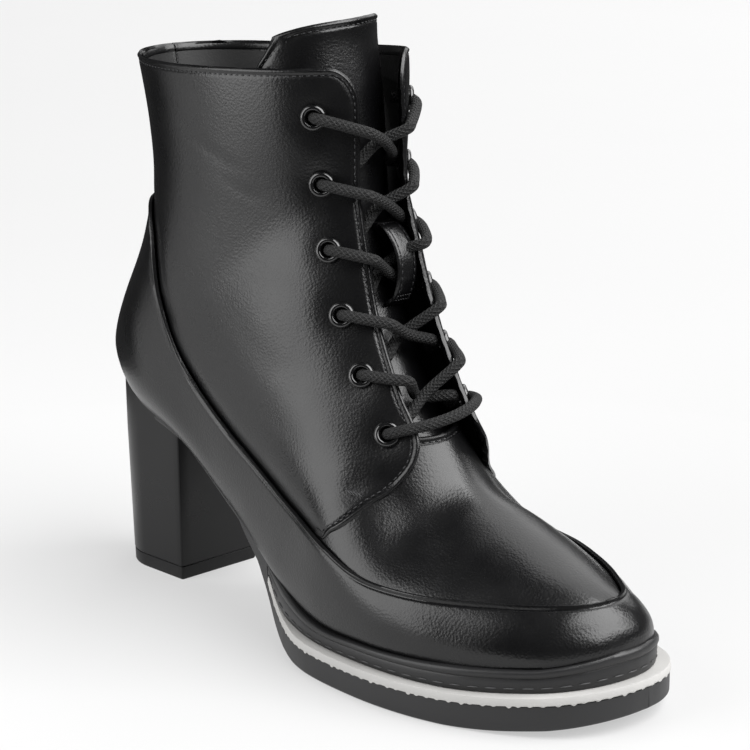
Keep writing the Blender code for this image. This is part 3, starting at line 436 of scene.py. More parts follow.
def laid_grid(columns, rows, place):
    """A grid of faces put where place(u, v) says; u and v run from 0 to 1 and stay as the UV map."""
    mesh = bmesh.new()
    mesh.loops.layers.uv.new("UVMap")
    bmesh.ops.create_grid(mesh, x_segments=columns, y_segments=rows, size=0.5, calc_uvs=True)
    flat = np.array([vert.co[:2] for vert in mesh.verts]) + 0.5
    for vert, spot in zip(mesh.verts, metres(place(flat[:, 0], flat[:, 1]))):
        vert.co = spot
    return mesh


def made_piece(mesh, name, finish):
    """An object of a finished mesh and its material."""
    data = bpy.data.meshes.new(name)
    mesh.to_mesh(data)
    mesh.free()
    data.materials.append(finish)
    piece = bpy.data.objects.new(name, data)
    bpy.context.scene.collection.objects.link(piece)
    return piece


def put_in_place(mesh, name, finish, nodes=(), sharp_angle=50.0):
    """Makes a piece that rides on the boot and stands for the CAD nodes it covers."""
    piece = made_piece(mesh, name, finish)
    piece.data.shade_smooth()
    piece.data.set_sharp_from_angle(angle=math.radians(sharp_angle))
    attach(piece, "root")
    if nodes:
        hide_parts(*nodes)


def thicken(mesh, wall):
    """Gives a sheet its wall, inwards from its outer face."""
    mesh.normal_update()
    inner = bmesh.ops.extrude_face_region(mesh, geom=mesh.faces[:], use_keep_orig=True)["geom"]
    for vert in (part for part in inner if isinstance(part, bmesh.types.BMVert)):
        vert.co -= vert.normal * wall * MILLIMETRE
    bmesh.ops.recalc_face_normals(mesh, faces=mesh.faces[:])


def linear(code):
    """sRGB hex colour as linear values."""
    values = [int(code[k:k + 2], 16) / 255 for k in (1, 3, 5)]
    return [v / 12.92 if v <= 0.04045 else ((v + 0.055) / 1.055) ** 2.4 for v in values] + [1.0]


def add_node(tree, kind, settings, inputs):
    """Adds a node with its settings; an input is a value, or the output socket that feeds it."""
    made = tree.nodes.new(kind)
    for name, value in settings.items():
        setattr(made, name, value)
    for name, value in inputs.items():
        if isinstance(value, bpy.types.NodeSocket):
            tree.links.new(value, made.inputs[name])
        else:
            made.inputs[name].default_value = value
    return made


def new_material(name):
    """A material's node tree and its shader."""
    made = bpy.data.materials.new(name)
    made.use_nodes = True
    return made, made.node_tree, made.node_tree.nodes["Principled BSDF"]


def cloud_over(tree, shader, where, cloud_mm, detail, glosses, colours):
    """Lets a finish's gloss and colour drift between two values each, in soft clouds."""
    clouds = add_node(tree, "ShaderNodeTexNoise", {},
                      {"Vector": where, "Scale": 1000 / cloud_mm, "Detail": detail})
    gloss = add_node(tree, "ShaderNodeMapRange", {},
                     {"Value": clouds.outputs["Fac"], "From Min": 0.3, "From Max": 0.7,
                      "To Min": glosses[0], "To Max": glosses[1]})
    tree.links.new(gloss.outputs["Result"], shader.inputs["Roughness"])
    shade = add_node(tree, "ShaderNodeMix", {"data_type": "RGBA"},
                     {"Factor": clouds.outputs["Fac"], "A": colours[0], "B": colours[1]})
    tree.links.new(shade.outputs["Result"], shader.inputs["Base Color"])


LEATHER_CLOUD_MM, LEATHER_DULL = 16.667, "#0A0A0B"
LEATHER_IOR = 1.5


def leather_finish(name, code, roughness, grain_mm, grain_depth):
    """Corrected-grain leather: finely pebbled, polished on the high spots, softly uneven in gloss."""
    made, tree, shader = new_material(name)
    where = add_node(tree, "ShaderNodeTexCoord", {}, {}).outputs["Object"]
    pebbles = add_node(tree, "ShaderNodeTexVoronoi", {"feature": "SMOOTH_F1"},
                       {"Vector": where, "Scale": 1000 / grain_mm, "Smoothness": 0.6})
    wrinkles = add_node(tree, "ShaderNodeTexNoise", {},
                        {"Vector": where, "Scale": 1000 / (2.2 * grain_mm), "Detail": 5.0,
                         "Roughness": 0.6, "Distortion": 0.8})
    relief = add_node(tree, "ShaderNodeMix", {"data_type": "FLOAT"},
                      {"Factor": 0.45, "A": pebbles.outputs["Distance"], "B": wrinkles.outputs["Fac"]})
    bump = add_node(tree, "ShaderNodeBump", {},
                    {"Strength": grain_depth, "Distance": 0.25 * MILLIMETRE,
                     "Height": relief.outputs["Result"]})
    tree.links.new(bump.outputs["Normal"], shader.inputs["Normal"])
    cloud_over(tree, shader, where, LEATHER_CLOUD_MM, 3.0, (roughness - 0.04, roughness + 0.05),
               (linear(code), linear(LEATHER_DULL)))
    shader.inputs["IOR"].default_value = LEATHER_IOR
    return made


LEATHER_BLACK = "#050506"
LEATHER_ROUGHNESS, GRAIN_MM, GRAIN_DEPTH = 0.285, 0.75, 0.34
leather = leather_finish("smooth_black_leather", LEATHER_BLACK, LEATHER_ROUGHNESS, GRAIN_MM, GRAIN_DEPTH)

VAMP_RISE, VAMP_WALL, VAMP_TUCK = -0.8, 1.3, 5.0
VAMP_TOP_Z = 74.5
VAMP_LEVEL = 1 + float(np.interp(VAMP_TOP_Z, UPPER_FRONT.points[:, 1], UPPER_FRONT.share))
VAMP_COLUMNS, VAMP_ROWS = 110, 90
VAMP_EDGE_SHARE, VAMP_EDGE_POINTS = 0.12, 300
EVEN_PASSES = 40
# Creases as lines of (level, along) points, with a depth and a width.
VAMP_CREASES = (
    (((1.26, -0.16), (1.25, -0.08), (1.25, 0.02), (1.255, 0.10)), 0.12, 4.0),
    (((1.20, -0.20), (1.20, -0.10), (1.195, 0.0)), 0.1, 4.0),
    (((1.30, -0.10), (1.295, -0.04), (1.295, 0.05)), -0.08, 3.0),
)
VAMP_LENGTH = UPPER_FRONT.length * (VAMP_LEVEL - 1)


def place_vamp(u, v):
    tuck = VAMP_TUCK / VAMP_LENGTH
    down = from_edge(1 - v, VAMP_ROWS, VAMP_LENGTH + VAMP_TUCK)
    level = VAMP_LEVEL - down / VAMP_LENGTH * (VAMP_LEVEL - 1)
    level = np.maximum(level, 1 - tuck * (VAMP_LEVEL - 1))
    reach = quarter_edge(level) + VAMP_TUCK / SEAM.length
    along = (2 * u - 1) * reach
    spots = evened(last_points(level, along), u, v, EVEN_PASSES)
    edge = last_points(VAMP_LEVEL, np.linspace(-VAMP_EDGE_SHARE, VAMP_EDGE_SHARE, VAMP_EDGE_POINTS))
    height = VAMP_RISE + turned_edge(edge_distance(spots, edge)) + crease_depth(spots, VAMP_CREASES)
    return spots + last_normals(level, along) * height[:, None]


vamp = laid_grid(VAMP_COLUMNS, VAMP_ROWS, place_vamp)
thicken(vamp, VAMP_WALL)
put_in_place(vamp, "vamp", leather, ["upper"])

# Quarters: two panels of the same leather, one each side, closed by the lace over the tongue and
# sewn together at the back. Their front and collar edges are turned over the lining and stitched.
# Beside the lower throat they stand off the foot, the inner one further and higher up.
# For the outer and the inner flap: lift, width, where the lift ends above and below, and its fall.
FLAPS = ((3.4, 16.0, 116.0, 58.0, 2.0), (6.6, 27.0, 178.0, 50.0, 1.2))
QUARTER_WALL, QUARTER_TUCK, TUCK_SINK = 1.9, 4.0, 1.0
QUARTER_COLUMNS, QUARTER_ROWS = 130, 150
# Eyelets of the outer (-1) and inner (1) side, from the top down: distance from the middle of the
# front, and height.
EYELETS = {-1: ((21.0, 170.5), (18.2, 149.5), (18.4, 129.3), (18.2, 109.6), (17.2, 91.9), (16.2, 74.8)),
           1: ((22.4, 172.6), (19.0, 152.5), (19.0, 133.3), (18.5, 113.5), (17.6, 95.2), (17.4, 78.6))}
EYELET_ROWS = len(EYELETS[1])
BAR_TACK = (1.282, 0.186)
EYELET_DIMPLE, EYELET_DIMPLE_WIDTH = 0.7, 6.0
EYELET_HOLE_RADIUS = 2.7
BACK_SEAM_DEPTH, BACK_SEAM_WIDTH = 0.5, 0.7
SEAM_SINK, SEAM_SOFT = 0.8, 4.0
QUARTER_CREASES = (
    (((1.80, 0.42), (1.79, 0.52), (1.80, 0.64), (1.82, 0.74)), 0.16, 2.6),
    (((1.76, 0.36), (1.75, 0.46), (1.755, 0.58)), 0.14, 2.6),
    (((1.48, 0.24), (1.45, 0.34), (1.45, 0.44), (1.47, 0.55)), 0.18, 6.0),
    (((1.36, 0.24), (1.33, 0.34), (1.31, 0.46)), 0.16, 6.0),
)
FRONT_REACH, SLOPE_STEP = 45.0, 2.0


def front_base(y, z):
    """A spot of the last beside the front line, y from its middle."""
    x = np.interp(z, FRONT_LINE[:, 1], FRONT_LINE[:, 0]) - np.linspace(0, FRONT_REACH, CURVE_SAMPLES)
    half, centre = half_and_centre(x, np.full_like(x, z))
    return np.array((np.interp(abs(y), half, x), np.interp(abs(y), half, centre) + y, z))


def front_point(y, z, rise):
    """A spot beside the front line, y from its middle and lifted off the last; and its normal."""
    across = front_base(y + SLOPE_STEP / 2, z) - front_base(y - SLOPE_STEP / 2, z)
    up = front_base(y, z + SLOPE_STEP / 2) - front_base(y, z - SLOPE_STEP / 2)
    normal = unit(np.cross(across, up))
    return front_base(y, z) + normal * rise, normal


def flap_lift(spots):
    """How far a quarter's front edge stands off beside the lower throat."""
    aside = spots[:, 1] - half_and_centre(spots[:, 0], spots[:, 2])[1]
    lifts = []
    for lift, width, top_z, foot_z, fall in FLAPS:
        near = np.clip(1 - (np.abs(aside) - THROAT_HALF_GAP) / width, 0, 1)
        along = fade(spots[:, 2], THROAT_BASE_Z, foot_z) * fade(spots[:, 2], THROAT_BASE_Z, top_z)
        lifts.append(lift * near ** fall * along)
    return lifts[0] + (lifts[1] - lifts[0]) * np.clip(0.5 + aside / (2 * THROAT_HALF_GAP), 0, 1)


def lift_at(y, z):
    """The flaps' lift at one spot beside the front line."""
    return flap_lift(front_base(y, z)[None, :])[0]


def quarter_point(y, z, rise):
    """A spot over a quarter's outer face beside the throat, and the normal there."""
    return front_point(y, z, lift_at(y, z) + rise)


RING_POINTS, RISE_POINTS = 60, 40
# Lengths round the last from the front to the back at a few levels, and up it at a few shares.
RING_LEVELS = np.linspace(1, 2, 21)
RING_LENGTHS = np.array([path_length(last_points(level, np.linspace(-1, 0, RING_POINTS)))[-1]
                         for level in RING_LEVELS])
RISE_SHARES = np.linspace(0, 1, 21)
RISE_LENGTHS = np.array([path_length(last_points(np.linspace(1, 2, RISE_POINTS), -share))[-1]
                         for share in RISE_SHARES])
OUTLINE_LOW, OUTLINE_POINTS, OUTLINE_CORNER_POINTS = 0.97, 500, 150
SEAM_POINTS, BACK_POINTS = 900, 300


def quarter_outline(side):
    """Closely spaced points along a quarter's front and collar edges."""
    levels = levels_to_collar(OUTLINE_LOW, OUTLINE_POINTS, OUTLINE_CORNER_POINTS)
    front = last_points(levels, side * quarter_edge(levels))
    collar = last_points(2.0, side * np.linspace(quarter_edge(2.0), 1, OUTLINE_POINTS))
    return np.concatenate((front, collar))


def place_quarter(side):
    outline = quarter_outline(side)
    pulled = [front_base(side * half, z) for half, z in EYELETS[side]]
    pulled.append(last_points(BAR_TACK[0], side * BAR_TACK[1])[0])
    seam = last_points(1.0, side * np.linspace(0, 1, SEAM_POINTS))
    back = last_points(np.linspace(1, 2, BACK_POINTS), 1.0)
    creases = [([(level, side * share) for level, share in line], depth, width)
               for line, depth, width in QUARTER_CREASES]

    def place(u, v):
        across = u if side > 0 else 1 - u
        rise = np.interp(across, RISE_SHARES, RISE_LENGTHS)
        down = from_edge(1 - v, QUARTER_ROWS, rise + QUARTER_TUCK)
        level = 2 - down / rise
        edge = quarter_edge(level)
        length = np.interp(level, RING_LEVELS, RING_LENGTHS) * (1 - edge)
        share = edge + (1 - edge) * from_edge(across, QUARTER_COLUMNS, length) / length
        spots = evened(last_points(level, side * share), u, v, EVEN_PASSES)
        normals = last_normals(level, side * share)
        height = flap_lift(spots) + turned_edge(edge_distance(spots, outline))
        height -= TUCK_SINK * np.clip((1 - level) * rise / QUARTER_TUCK * 2, 0, 1)
        height += crease_depth(spots, creases)
        height -= SEAM_SINK * swell(edge_distance(spots, seam), SEAM_SOFT)
        for spot in pulled:
            height -= EYELET_DIMPLE * swell(np.linalg.norm(spots - spot, axis=1), EYELET_DIMPLE_WIDTH)
        height -= BACK_SEAM_DEPTH * swell(edge_distance(spots, back), BACK_SEAM_WIDTH)
        return spots + normals * height[:, None]

    return place


def punch(mesh, side):
    """Takes out the leather inside each eyelet."""
    for half, z in EYELETS[side]:
        spot = Vector(metres(quarter_point(side * half, z, 0.0)[0]))
        inside = [face for face in mesh.faces
                  if (face.calc_center_median() - spot).length < EYELET_HOLE_RADIUS * MILLIMETRE]
        bmesh.ops.delete(mesh, geom=inside, context="FACES")


for side, side_name in ((-1, "outer"), (1, "inner")):
    quarter = laid_grid(QUARTER_COLUMNS, QUARTER_ROWS, place_quarter(side))
    punch(quarter, side)
    thicken(quarter, QUARTER_WALL)
    put_in_place(quarter, f"quarter_{side_name}", leather, ["upper"])

# Mudguard and counter: one long band of the same leather, wrapped round the foot from the toe to
# the heel and lapped over the vamp and quarters. Its top edge is turned to a thin ridge, and its
# lower edge is drawn under the last and cemented.
MUDGUARD_RISE, MUDGUARD_WALL = 0.7, 1.4
RIDGE_AT, RIDGE_WIDTH, RIDGE_HEIGHT = 0.7, 0.45, 0.45
CREASE_AT, CREASE_WIDTH, CREASE_DROP = 1.7, 0.45, 0.4
MUDGUARD_COLUMNS, MUDGUARD_ROWS, GUARD_PASSES = 520, 44, 30
UNDER_ROWS, UNDER_DROP, UNDER_IN = 3, 1.5, 1.6
# The counter's lower edge rises round the back of the heel, and the counter is drawn in to it: how
# far, over what height, and where along the boot this stops. At the very back it is drawn in less.
EDGE_RISE, EDGE_RISE_FULL_X, EDGE_RISE_END_X = 6.8, 12.0, 42.0
DRAW_IN, DRAW_HIGH, DRAW_FULL_X, DRAW_END_X = 4.3, 16.0, 48.0, 78.0
DRAW_LESS, LESS_FULL_X, LESS_END_X = 0.6, 4.5, 10.5
HEEL_AXIS_X, HEEL_SEAT_X = 26.0, 6.0
# Below its seam the counter is fuller than the last: by how much, how softly, and up to what height.
COUNTER_OUT, COUNTER_SOFT, COUNTER_FULL_Z, COUNTER_END_Z = 2.1, 26.0, 84.0, 118.0
COUNTER_PASSES = 120
GUARD_EDGE_POINTS, GUARD_RISE_POINTS, EDGE_LEVEL_POINTS = 2600, 30, 60
MERGE_GUARD = 0.05
GUARD_SHARES = np.linspace(0, 1, 61)
GUARD_LENGTHS = np.array([path_length(last_points(np.linspace(0, 1, GUARD_RISE_POINTS), -share))[-1]
                          for share in GUARD_SHARES])


def feather_height(x):
    """Height of the feather line over stations x."""
    return np.interp(-x, -FEATHER_VALUES["bottom_x"], FEATHER_VALUES["bottom_z"])


def heel_edge(x):
    """How far the counter's lower edge lies above the feather line."""
    return EDGE_RISE * fade(x, EDGE_RISE_FULL_X, EDGE_RISE_END_X)


def above_edge(spots):
    """Height of spots above the counter's lower edge."""
    return spots[:, 2] - feather_height(np.maximum(spots[:, 0], HEEL_SEAT_X)) - heel_edge(spots[:, 0])


def edge_level(share):
    """Level of the mudguard's lower edge at a share of the way from the toe to the back."""
    levels = np.linspace(0, 1, EDGE_LEVEL_POINTS)
    spots = last_points(levels, -share)
    if spots[0, 0] > EDGE_RISE_END_X:
        return 0.0
    return float(np.interp(0, above_edge(spots), levels))


EDGE_LEVELS_LOW = np.array([edge_level(share) for share in GUARD_SHARES])


def ridged_edge(distance):
    """Height of the mudguard's turned edge: a thin ridge, pressed down behind it."""
    roll = -ROLL_DROP * np.clip(1 - distance / ROLL_WIDTH, 0, 1) ** 2
    ridge = RIDGE_HEIGHT * swell(distance, RIDGE_WIDTH, RIDGE_AT)
    return roll + ridge - CREASE_DROP * swell(distance, CREASE_WIDTH, CREASE_AT)


def rounded_counter(spots, u, v):
    """Evens the rows of the band round the heel, where the counter is moulded over a stiff board."""

    def even(sheet):
        ring = sheet[:, :-1].copy()
        share = fade(ring[:, :, :1], DRAW_FULL_X, DRAW_END_X) / 4
        share = share * fade(ring[:, :, 2:], COUNTER_FULL_Z, COUNTER_END_Z)
        for _ in range(COUNTER_PASSES):
            ring += share * (np.roll(ring, 1, axis=1) - 2 * ring + np.roll(ring, -1, axis=1))
        return np.concatenate((ring, ring[:, :1]), axis=1)

    return reworked(spots, u, v, even)


def heel_shift(spots, from_seam):
    """How the counter leaves the last: in towards its lower edge, and out below its seam."""
    full = fade(spots[:, 2], COUNTER_FULL_Z, COUNTER_END_Z) * (1 - fade(from_seam, 0, COUNTER_SOFT))
    draw = DRAW_IN * np.clip(1 - above_edge(spots) / DRAW_HIGH, 0, 1) ** 2
    draw *= 1 - DRAW_LESS * fade(spots[:, 0], LESS_FULL_X, LESS_END_X)
    shift = (COUNTER_OUT * full - draw) * fade(spots[:, 0], DRAW_FULL_X, DRAW_END_X)
    behind = np.minimum(spots[:, 0] - HEEL_AXIS_X, 0)
    return unit(np.column_stack((behind, spots[:, 1], np.zeros(len(spots))))) * shift[:, None]


def place_mudguard(u, v):
    along = 2 * u - 1
    row = np.rint((1 - v) * MUDGUARD_ROWS)
    side_rows = MUDGUARD_ROWS - UNDER_ROWS
    length = np.interp(np.abs(along), GUARD_SHARES, GUARD_LENGTHS)
    lowest = np.interp(np.abs(along), GUARD_SHARES, EDGE_LEVELS_LOW)
    down = from_edge(np.minimum(row / side_rows, 1), side_rows, length * (1 - lowest))
    level = np.clip(1 - down / length, lowest, PATCH_TOP)
    spots = evened(last_points(level, along), u, v, GUARD_PASSES)
    normals = last_normals(level, along)
    from_seam = edge_distance(spots, last_points(1.0, np.linspace(-1, 1, GUARD_EDGE_POINTS)))
    height = MUDGUARD_RISE + ridged_edge(from_seam)
    under = np.clip(row - side_rows, 0, UNDER_ROWS) / UNDER_ROWS
    tucked = unit(normals * (1, 1, 0)) * (UNDER_IN * under ** 2)[:, None]
    spots = spots + normals * height[:, None] - tucked + heel_shift(spots, from_seam)
    spots[:, 2] -= UNDER_DROP * np.sqrt(under)
    return rounded_counter(spots, u, v)


mudguard = laid_grid(MUDGUARD_COLUMNS, MUDGUARD_ROWS, place_mudguard)
bmesh.ops.remove_doubles(mudguard, verts=mudguard.verts[:], dist=MERGE_GUARD * MILLIMETRE)
thicken(mudguard, MUDGUARD_WALL)
put_in_place(mudguard, "mudguard", leather, ["upper"])

# Lining: soft black leather glued inside the quarters, cut back from the turned edges. Round the heel
# it lies deeper, over the stiff board inside the counter.
LINING_BLACK, LINING_ROUGHNESS, LINING_GRAIN_MM, LINING_GRAIN_DEPTH = "#0D0D0D", 0.55, 0.7, 0.2
LINING_RISE, LINING_INSET, SHAFT_RISE = -2.2, 4.0, 60.0
LINING_BOTTOM, LINING_DEEP, DEEP_LEVEL, DEEP_END = 0.2, 6.0, 0.9, 1.35
LINING_COLUMNS, LINING_ROWS = 120, 80
lining_leather = leather_finish("black_lining_leather", LINING_BLACK, LINING_ROUGHNESS,
                                LINING_GRAIN_MM, LINING_GRAIN_DEPTH)


def place_lining(u, v):
    top = 2 - LINING_INSET / SHAFT_RISE
    level = LINING_BOTTOM + (top - LINING_BOTTOM) * v
    start = quarter_edge(level) + LINING_INSET / COLLAR.length
    along = -(start + (2 - 2 * start) * u)
    spots, normals = last_points(level, along), last_normals(level, along)
    deep = LINING_DEEP * fade(level, DEEP_LEVEL, DEEP_END) * fade(spots[:, 0], DRAW_FULL_X, DRAW_END_X)
    return spots + normals * (LINING_RISE + flap_lift(spots) - deep)[:, None]


lining = laid_grid(LINING_COLUMNS, LINING_ROWS, place_lining)
bmesh.ops.recalc_face_normals(lining, faces=lining.faces[:])
put_in_place(lining, "lining", lining_leather, ["upper"])

# Insole: a thin sock of the lining leather, glued to the board that the upper is lasted over.
# The CAD solid has its shape and only takes on the leather.
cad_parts["insole"].data.materials.clear()
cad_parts["insole"].data.materials.append(lining_leather)

# Tongue: a wide leather tongue sewn in at the vamp's top edge, curved round the leg and taller
# than the collar. Its top edge is turned and stitched.
# From the foot up: height, depth behind the front line, half width and radius of the curve.
TONGUE = (
    (64.0, 3.6, 13.0, 22.0),
    (72.0, 6.0, 14.5, 21.0),
    (80.0, 9.0, 16.0, 21.0),
    (100.0, 9.8, 18.0, 22.0),
    (130.0, 10.2, 20.5, 23.0),
    (160.0, 10.4, 28.0, 24.5),
    (186.0, 11.6, 42.0, 25.0),
    (199.4, 12.0, 43.5, 25.0),
)
TONGUE_FOOT_Z, TONGUE_TOP_Z = TONGUE[0][0], TONGUE[-1][0]
TONGUE_LENGTH = TONGUE_TOP_Z - TONGUE_FOOT_Z
TONGUE_TOP_DROP, TONGUE_TOP_ROUND, TONGUE_TOP_TILT = 12.5, 2.8, 2.7
TONGUE_CORNER, TONGUE_CORNER_AT = 9.0, 0.58
TONGUE_WALL = 2.0
TONGUE_STRIPS, TONGUE_ROWS, TONGUE_EDGE_POINTS = 70, 130, 400


def tongue_points(rise, across):
    """Spots of the tongue's outer face and its outward directions; across runs -1 to 1."""
    top = TONGUE_TOP_Z + TONGUE_TOP_TILT * across - TONGUE_TOP_DROP * np.abs(across) ** TONGUE_TOP_ROUND
    past = np.clip((np.abs(across) - TONGUE_CORNER_AT) / (1 - TONGUE_CORNER_AT), 0, 1)
    top = top - TONGUE_CORNER * past ** 2
    height = TONGUE_FOOT_Z + (top - TONGUE_FOOT_Z) * rise
    place = np.interp(height, [row[0] for row in TONGUE], np.arange(len(TONGUE)))
    values = catmull_rom(TONGUE, place)
    depth, half_width, radius = (values[:, k] for k in (1, 2, 3))
    front = [np.interp(height + step, FRONT_LINE[:, 1], FRONT_LINE[:, 0])
             for step in (-SLOPE_STEP, 0, SLOPE_STEP)]
    lean = (front[2] - front[0]) / (2 * SLOPE_STEP)
    size = np.sqrt(1 + lean ** 2)
    straight = height >= FRONT_LINE[-1, 1]
    out_x, out_z = np.where(straight, 1.0, 1 / size), np.where(straight, 0.0, -lean / size)
    angle = across * half_width / radius
    back = depth + radius * (1 - np.cos(angle))
    spots = np.column_stack((front[1] - out_x * back, radius * np.sin(angle), height - out_z * back))
    facing = np.column_stack((out_x * np.cos(angle), np.sin(angle), out_z * np.cos(angle)))
    return spots, facing


def place_tongue(u, v):
    rise = 1 - from_edge(1 - v, TONGUE_ROWS, TONGUE_LENGTH) / TONGUE_LENGTH
    spots, facing = tongue_points(rise, 2 * u - 1)
    edge = tongue_points(np.ones(TONGUE_EDGE_POINTS), np.linspace(-1, 1, TONGUE_EDGE_POINTS))[0]
    return spots + facing * turned_edge(edge_distance(spots, edge))[:, None]


tongue = laid_grid(TONGUE_STRIPS, TONGUE_ROWS, place_tongue)
thicken(tongue, TONGUE_WALL)
put_in_place(tongue, "tongue", leather, ["tongue"])

# Pull loop: a leather strap, folded in half with its edges stitched, sewn to the tongue at both
# ends. It keeps the third crossing of the lace in the middle.
LOOP_LOW, LOOP_HIGH = 112.5, 137.5
LOOP_ARCH, LOOP_HALF_WIDTH, LOOP_WALL, LOOP_FULLNESS = 7.6, 4.2, 1.5, 0.55
LOOP_SEAT, LOOP_ACROSS = 2.1, 0.2
LOOP_ROWS, LOOP_STRIPS = 60, 22
LOOP_EDGE_ROUND, LOOP_ROUND_WIDTH, LOOP_EDGE_INSET = 0.7, 1.0, 1.5
LOOP_GROOVE, LOOP_GROOVE_WIDTH = 0.18, 0.35


def place_loop(u, v):
    height = LOOP_LOW + (LOOP_HIGH - LOOP_LOW) * v
    rise = (height - TONGUE_FOOT_Z) / TONGUE_LENGTH
    spots, facing = tongue_points(rise, np.full(len(u), LOOP_ACROSS))
    aside = (2 * u - 1) * LOOP_HALF_WIDTH
    distance = LOOP_HALF_WIDTH - np.abs(aside)
    lift = LOOP_SEAT + LOOP_ARCH * np.sin(np.pi * v) ** LOOP_FULLNESS
    lift = lift - LOOP_EDGE_ROUND * np.clip(1 - distance / LOOP_ROUND_WIDTH, 0, 1) ** 2
    lift = lift - LOOP_GROOVE * swell(distance, LOOP_GROOVE_WIDTH, LOOP_EDGE_INSET)
    spots = spots + facing * lift[:, None]
    spots[:, 1] += aside
    return spots


pull_loop = laid_grid(LOOP_STRIPS, LOOP_ROWS, place_loop)
thicken(pull_loop, LOOP_WALL)
put_in_place(pull_loop, "pull_loop_strap", leather, ["pull_loop"])

# Stitches: bonded black nylon thread in lock stitch, sunk in the grooves beside the turned edges.
# Short rows hold the pull loop's ends, and four long stitches side by side tack each quarter's foot.
# Against the leather the thread shows as a dull, slightly greyer dash.
THREAD_BLACK, THREAD_GREY, THREAD_ROUGHNESS, TWIST_MM = "#1A1A1C", "#2A2A2C", 0.5, 1.11
STITCH_PITCH, STITCH_LENGTH, STITCH_WIDTH, STITCH_HEIGHT = 2.2, 1.55, 0.5, 0.4
STITCH_SINK, STITCH_AHEAD = 0.12, 0.5
LOOP_EDGE_STITCH = LOOP_EDGE_INSET / (2 * LOOP_HALF_WIDTH)
LOOP_END_STITCHES, LOOP_END_PITCH, LOOP_END_LENGTH = (0.035, 0.075, 0.965), 1.1, 0.9
BAR_TACK_RISE, BAR_TACK_PITCH, BAR_TACK_LENGTH = -0.35, 4.0, 3.2
BAR_TACK_LEVELS, BAR_TACK_ASIDE = 0.011, (-1.8, -0.6, 0.6, 1.8)
STITCH_START_LEVEL, VAMP_STITCH_SHARE, TONGUE_STITCH_END = 1.02, 0.04, 0.97
LOOP_EDGE_FROM, LOOP_EDGE_TO, LOOP_END_FROM, LOOP_END_TO = 0.03, 0.97, 0.12, 0.88
ROW_POINTS, CORNER_POINTS, TACK_POINTS, BAR_TACK_RING = 300, 30, 20, 1.25
TONGUE_POINTS, LOOP_POINTS, LOOP_END_POINTS = 200, 60, 30
thread, thread_tree, thread_shader = new_material("bonded_black_thread")
thread_shader.inputs["Roughness"].default_value = THREAD_ROUGHNESS
thread_place = add_node(thread_tree, "ShaderNodeTexCoord", {}, {})
twist = add_node(thread_tree, "ShaderNodeTexNoise", {},
                 {"Vector": thread_place.outputs["Object"], "Scale": 1000 / TWIST_MM})
thread_shade = add_node(thread_tree, "ShaderNodeMix", {"data_type": "RGBA"},
                        {"Factor": twist.outputs["Fac"], "A": linear(THREAD_BLACK), "B": linear(THREAD_GREY)})
thread_tree.links.new(thread_shade.outputs["Result"], thread_shader.inputs["Base Color"])


def stitch_row(mesh, route, normals, pitch=STITCH_PITCH, length=STITCH_LENGTH):
    """Lays one small rounded stitch after another along a route."""
    running = path_length(route)
    starts = np.arange(pitch / 2, running[-1], pitch)
    spots, aheads = read_rows(starts, running, route), read_rows(starts + STITCH_AHEAD, running, route)
    for spot, ahead, normal in zip(spots, aheads, read_rows(starts, running, normals)):
        run = Vector(ahead - spot).normalized()
        aside = Vector(normal).normalized().cross(run).normalized()
        sizes = (run * length / 2, aside * STITCH_WIDTH / 2, run.cross(aside) * STITCH_HEIGHT / 2)
        turn = Matrix(sizes).transposed() * MILLIMETRE
        place = Matrix.Translation(Vector(metres(spot))) @ turn.to_4x4()
        bmesh.ops.create_icosphere(mesh, subdivisions=1, radius=1.0, matrix=place)


STRAP_STEP = 0.01


def strap_route(u, v):
    """A line over the pull loop, and its normals."""
    over = place_loop(u, v + STRAP_STEP) - place_loop(u, v - STRAP_STEP)
    across = place_loop(u + STRAP_STEP, v) - place_loop(u - STRAP_STEP, v)
    return place_loop(u, v), np.cross(across, over)


def front_edge_stitches():
    """Levels and shares of the row beside a quarter's front edge, set in square to the edge."""
    levels = np.linspace(STITCH_START_LEVEL, CORNER_START, ROW_POINTS)
    shares = quarter_edge(levels)
    sizes = np.column_stack((np.interp(levels, RING_LEVELS, RING_LENGTHS),
                             np.interp(shares, RISE_SHARES, RISE_LENGTHS)))
    run = unit(np.gradient(np.column_stack((shares, levels)) * sizes, axis=0))
    run = run * STITCH_INSET / sizes[:, ::-1]
    return levels - run[:, 0], shares + run[:, 1]


def collar_stitches():
    """Levels and shares of the row round a quarter's corner and along the collar."""
    turns = np.linspace(0, math.pi / 2, CORNER_POINTS)
    inner_corner = COLLAR_CORNER - STITCH_INSET
    corner_levels = CORNER_START + inner_corner * np.sin(turns) / UPPER_FRONT.length
    middle = share_at_half(CORNER_START, THROAT_HALF_GAP) + COLLAR_CORNER / COLLAR.length
    corner_shares = middle - inner_corner * np.cos(turns) / COLLAR.length
    rest = np.linspace(corner_shares[-1], 1.0, ROW_POINTS)[1:]
    rises = np.interp(rest, RISE_SHARES, RISE_LENGTHS)
    return (np.concatenate((corner_levels, 2 - STITCH_INSET / rises)),
            np.concatenate((corner_shares, rest)))


def bar_tack_stitches(across):
    """Levels and shares of one of the long stitches at a quarter's foot."""
    levels = BAR_TACK[0] + np.linspace(-BAR_TACK_LEVELS, BAR_TACK_LEVELS, TACK_POINTS)
    near_ring = np.interp(BAR_TACK_RING, RING_LEVELS, RING_LENGTHS)
    return levels, np.full(TACK_POINTS, BAR_TACK[1] + across / near_ring)


def sew(levels, shares, rise, **spacing):
    """Sews a row on the last's surface, lifted off it by rise."""
    normals = last_normals(levels, shares)
    route = last_points(levels, shares) + normals * np.reshape(rise, (-1, 1))
    stitch_row(stitches, route, normals, **spacing)


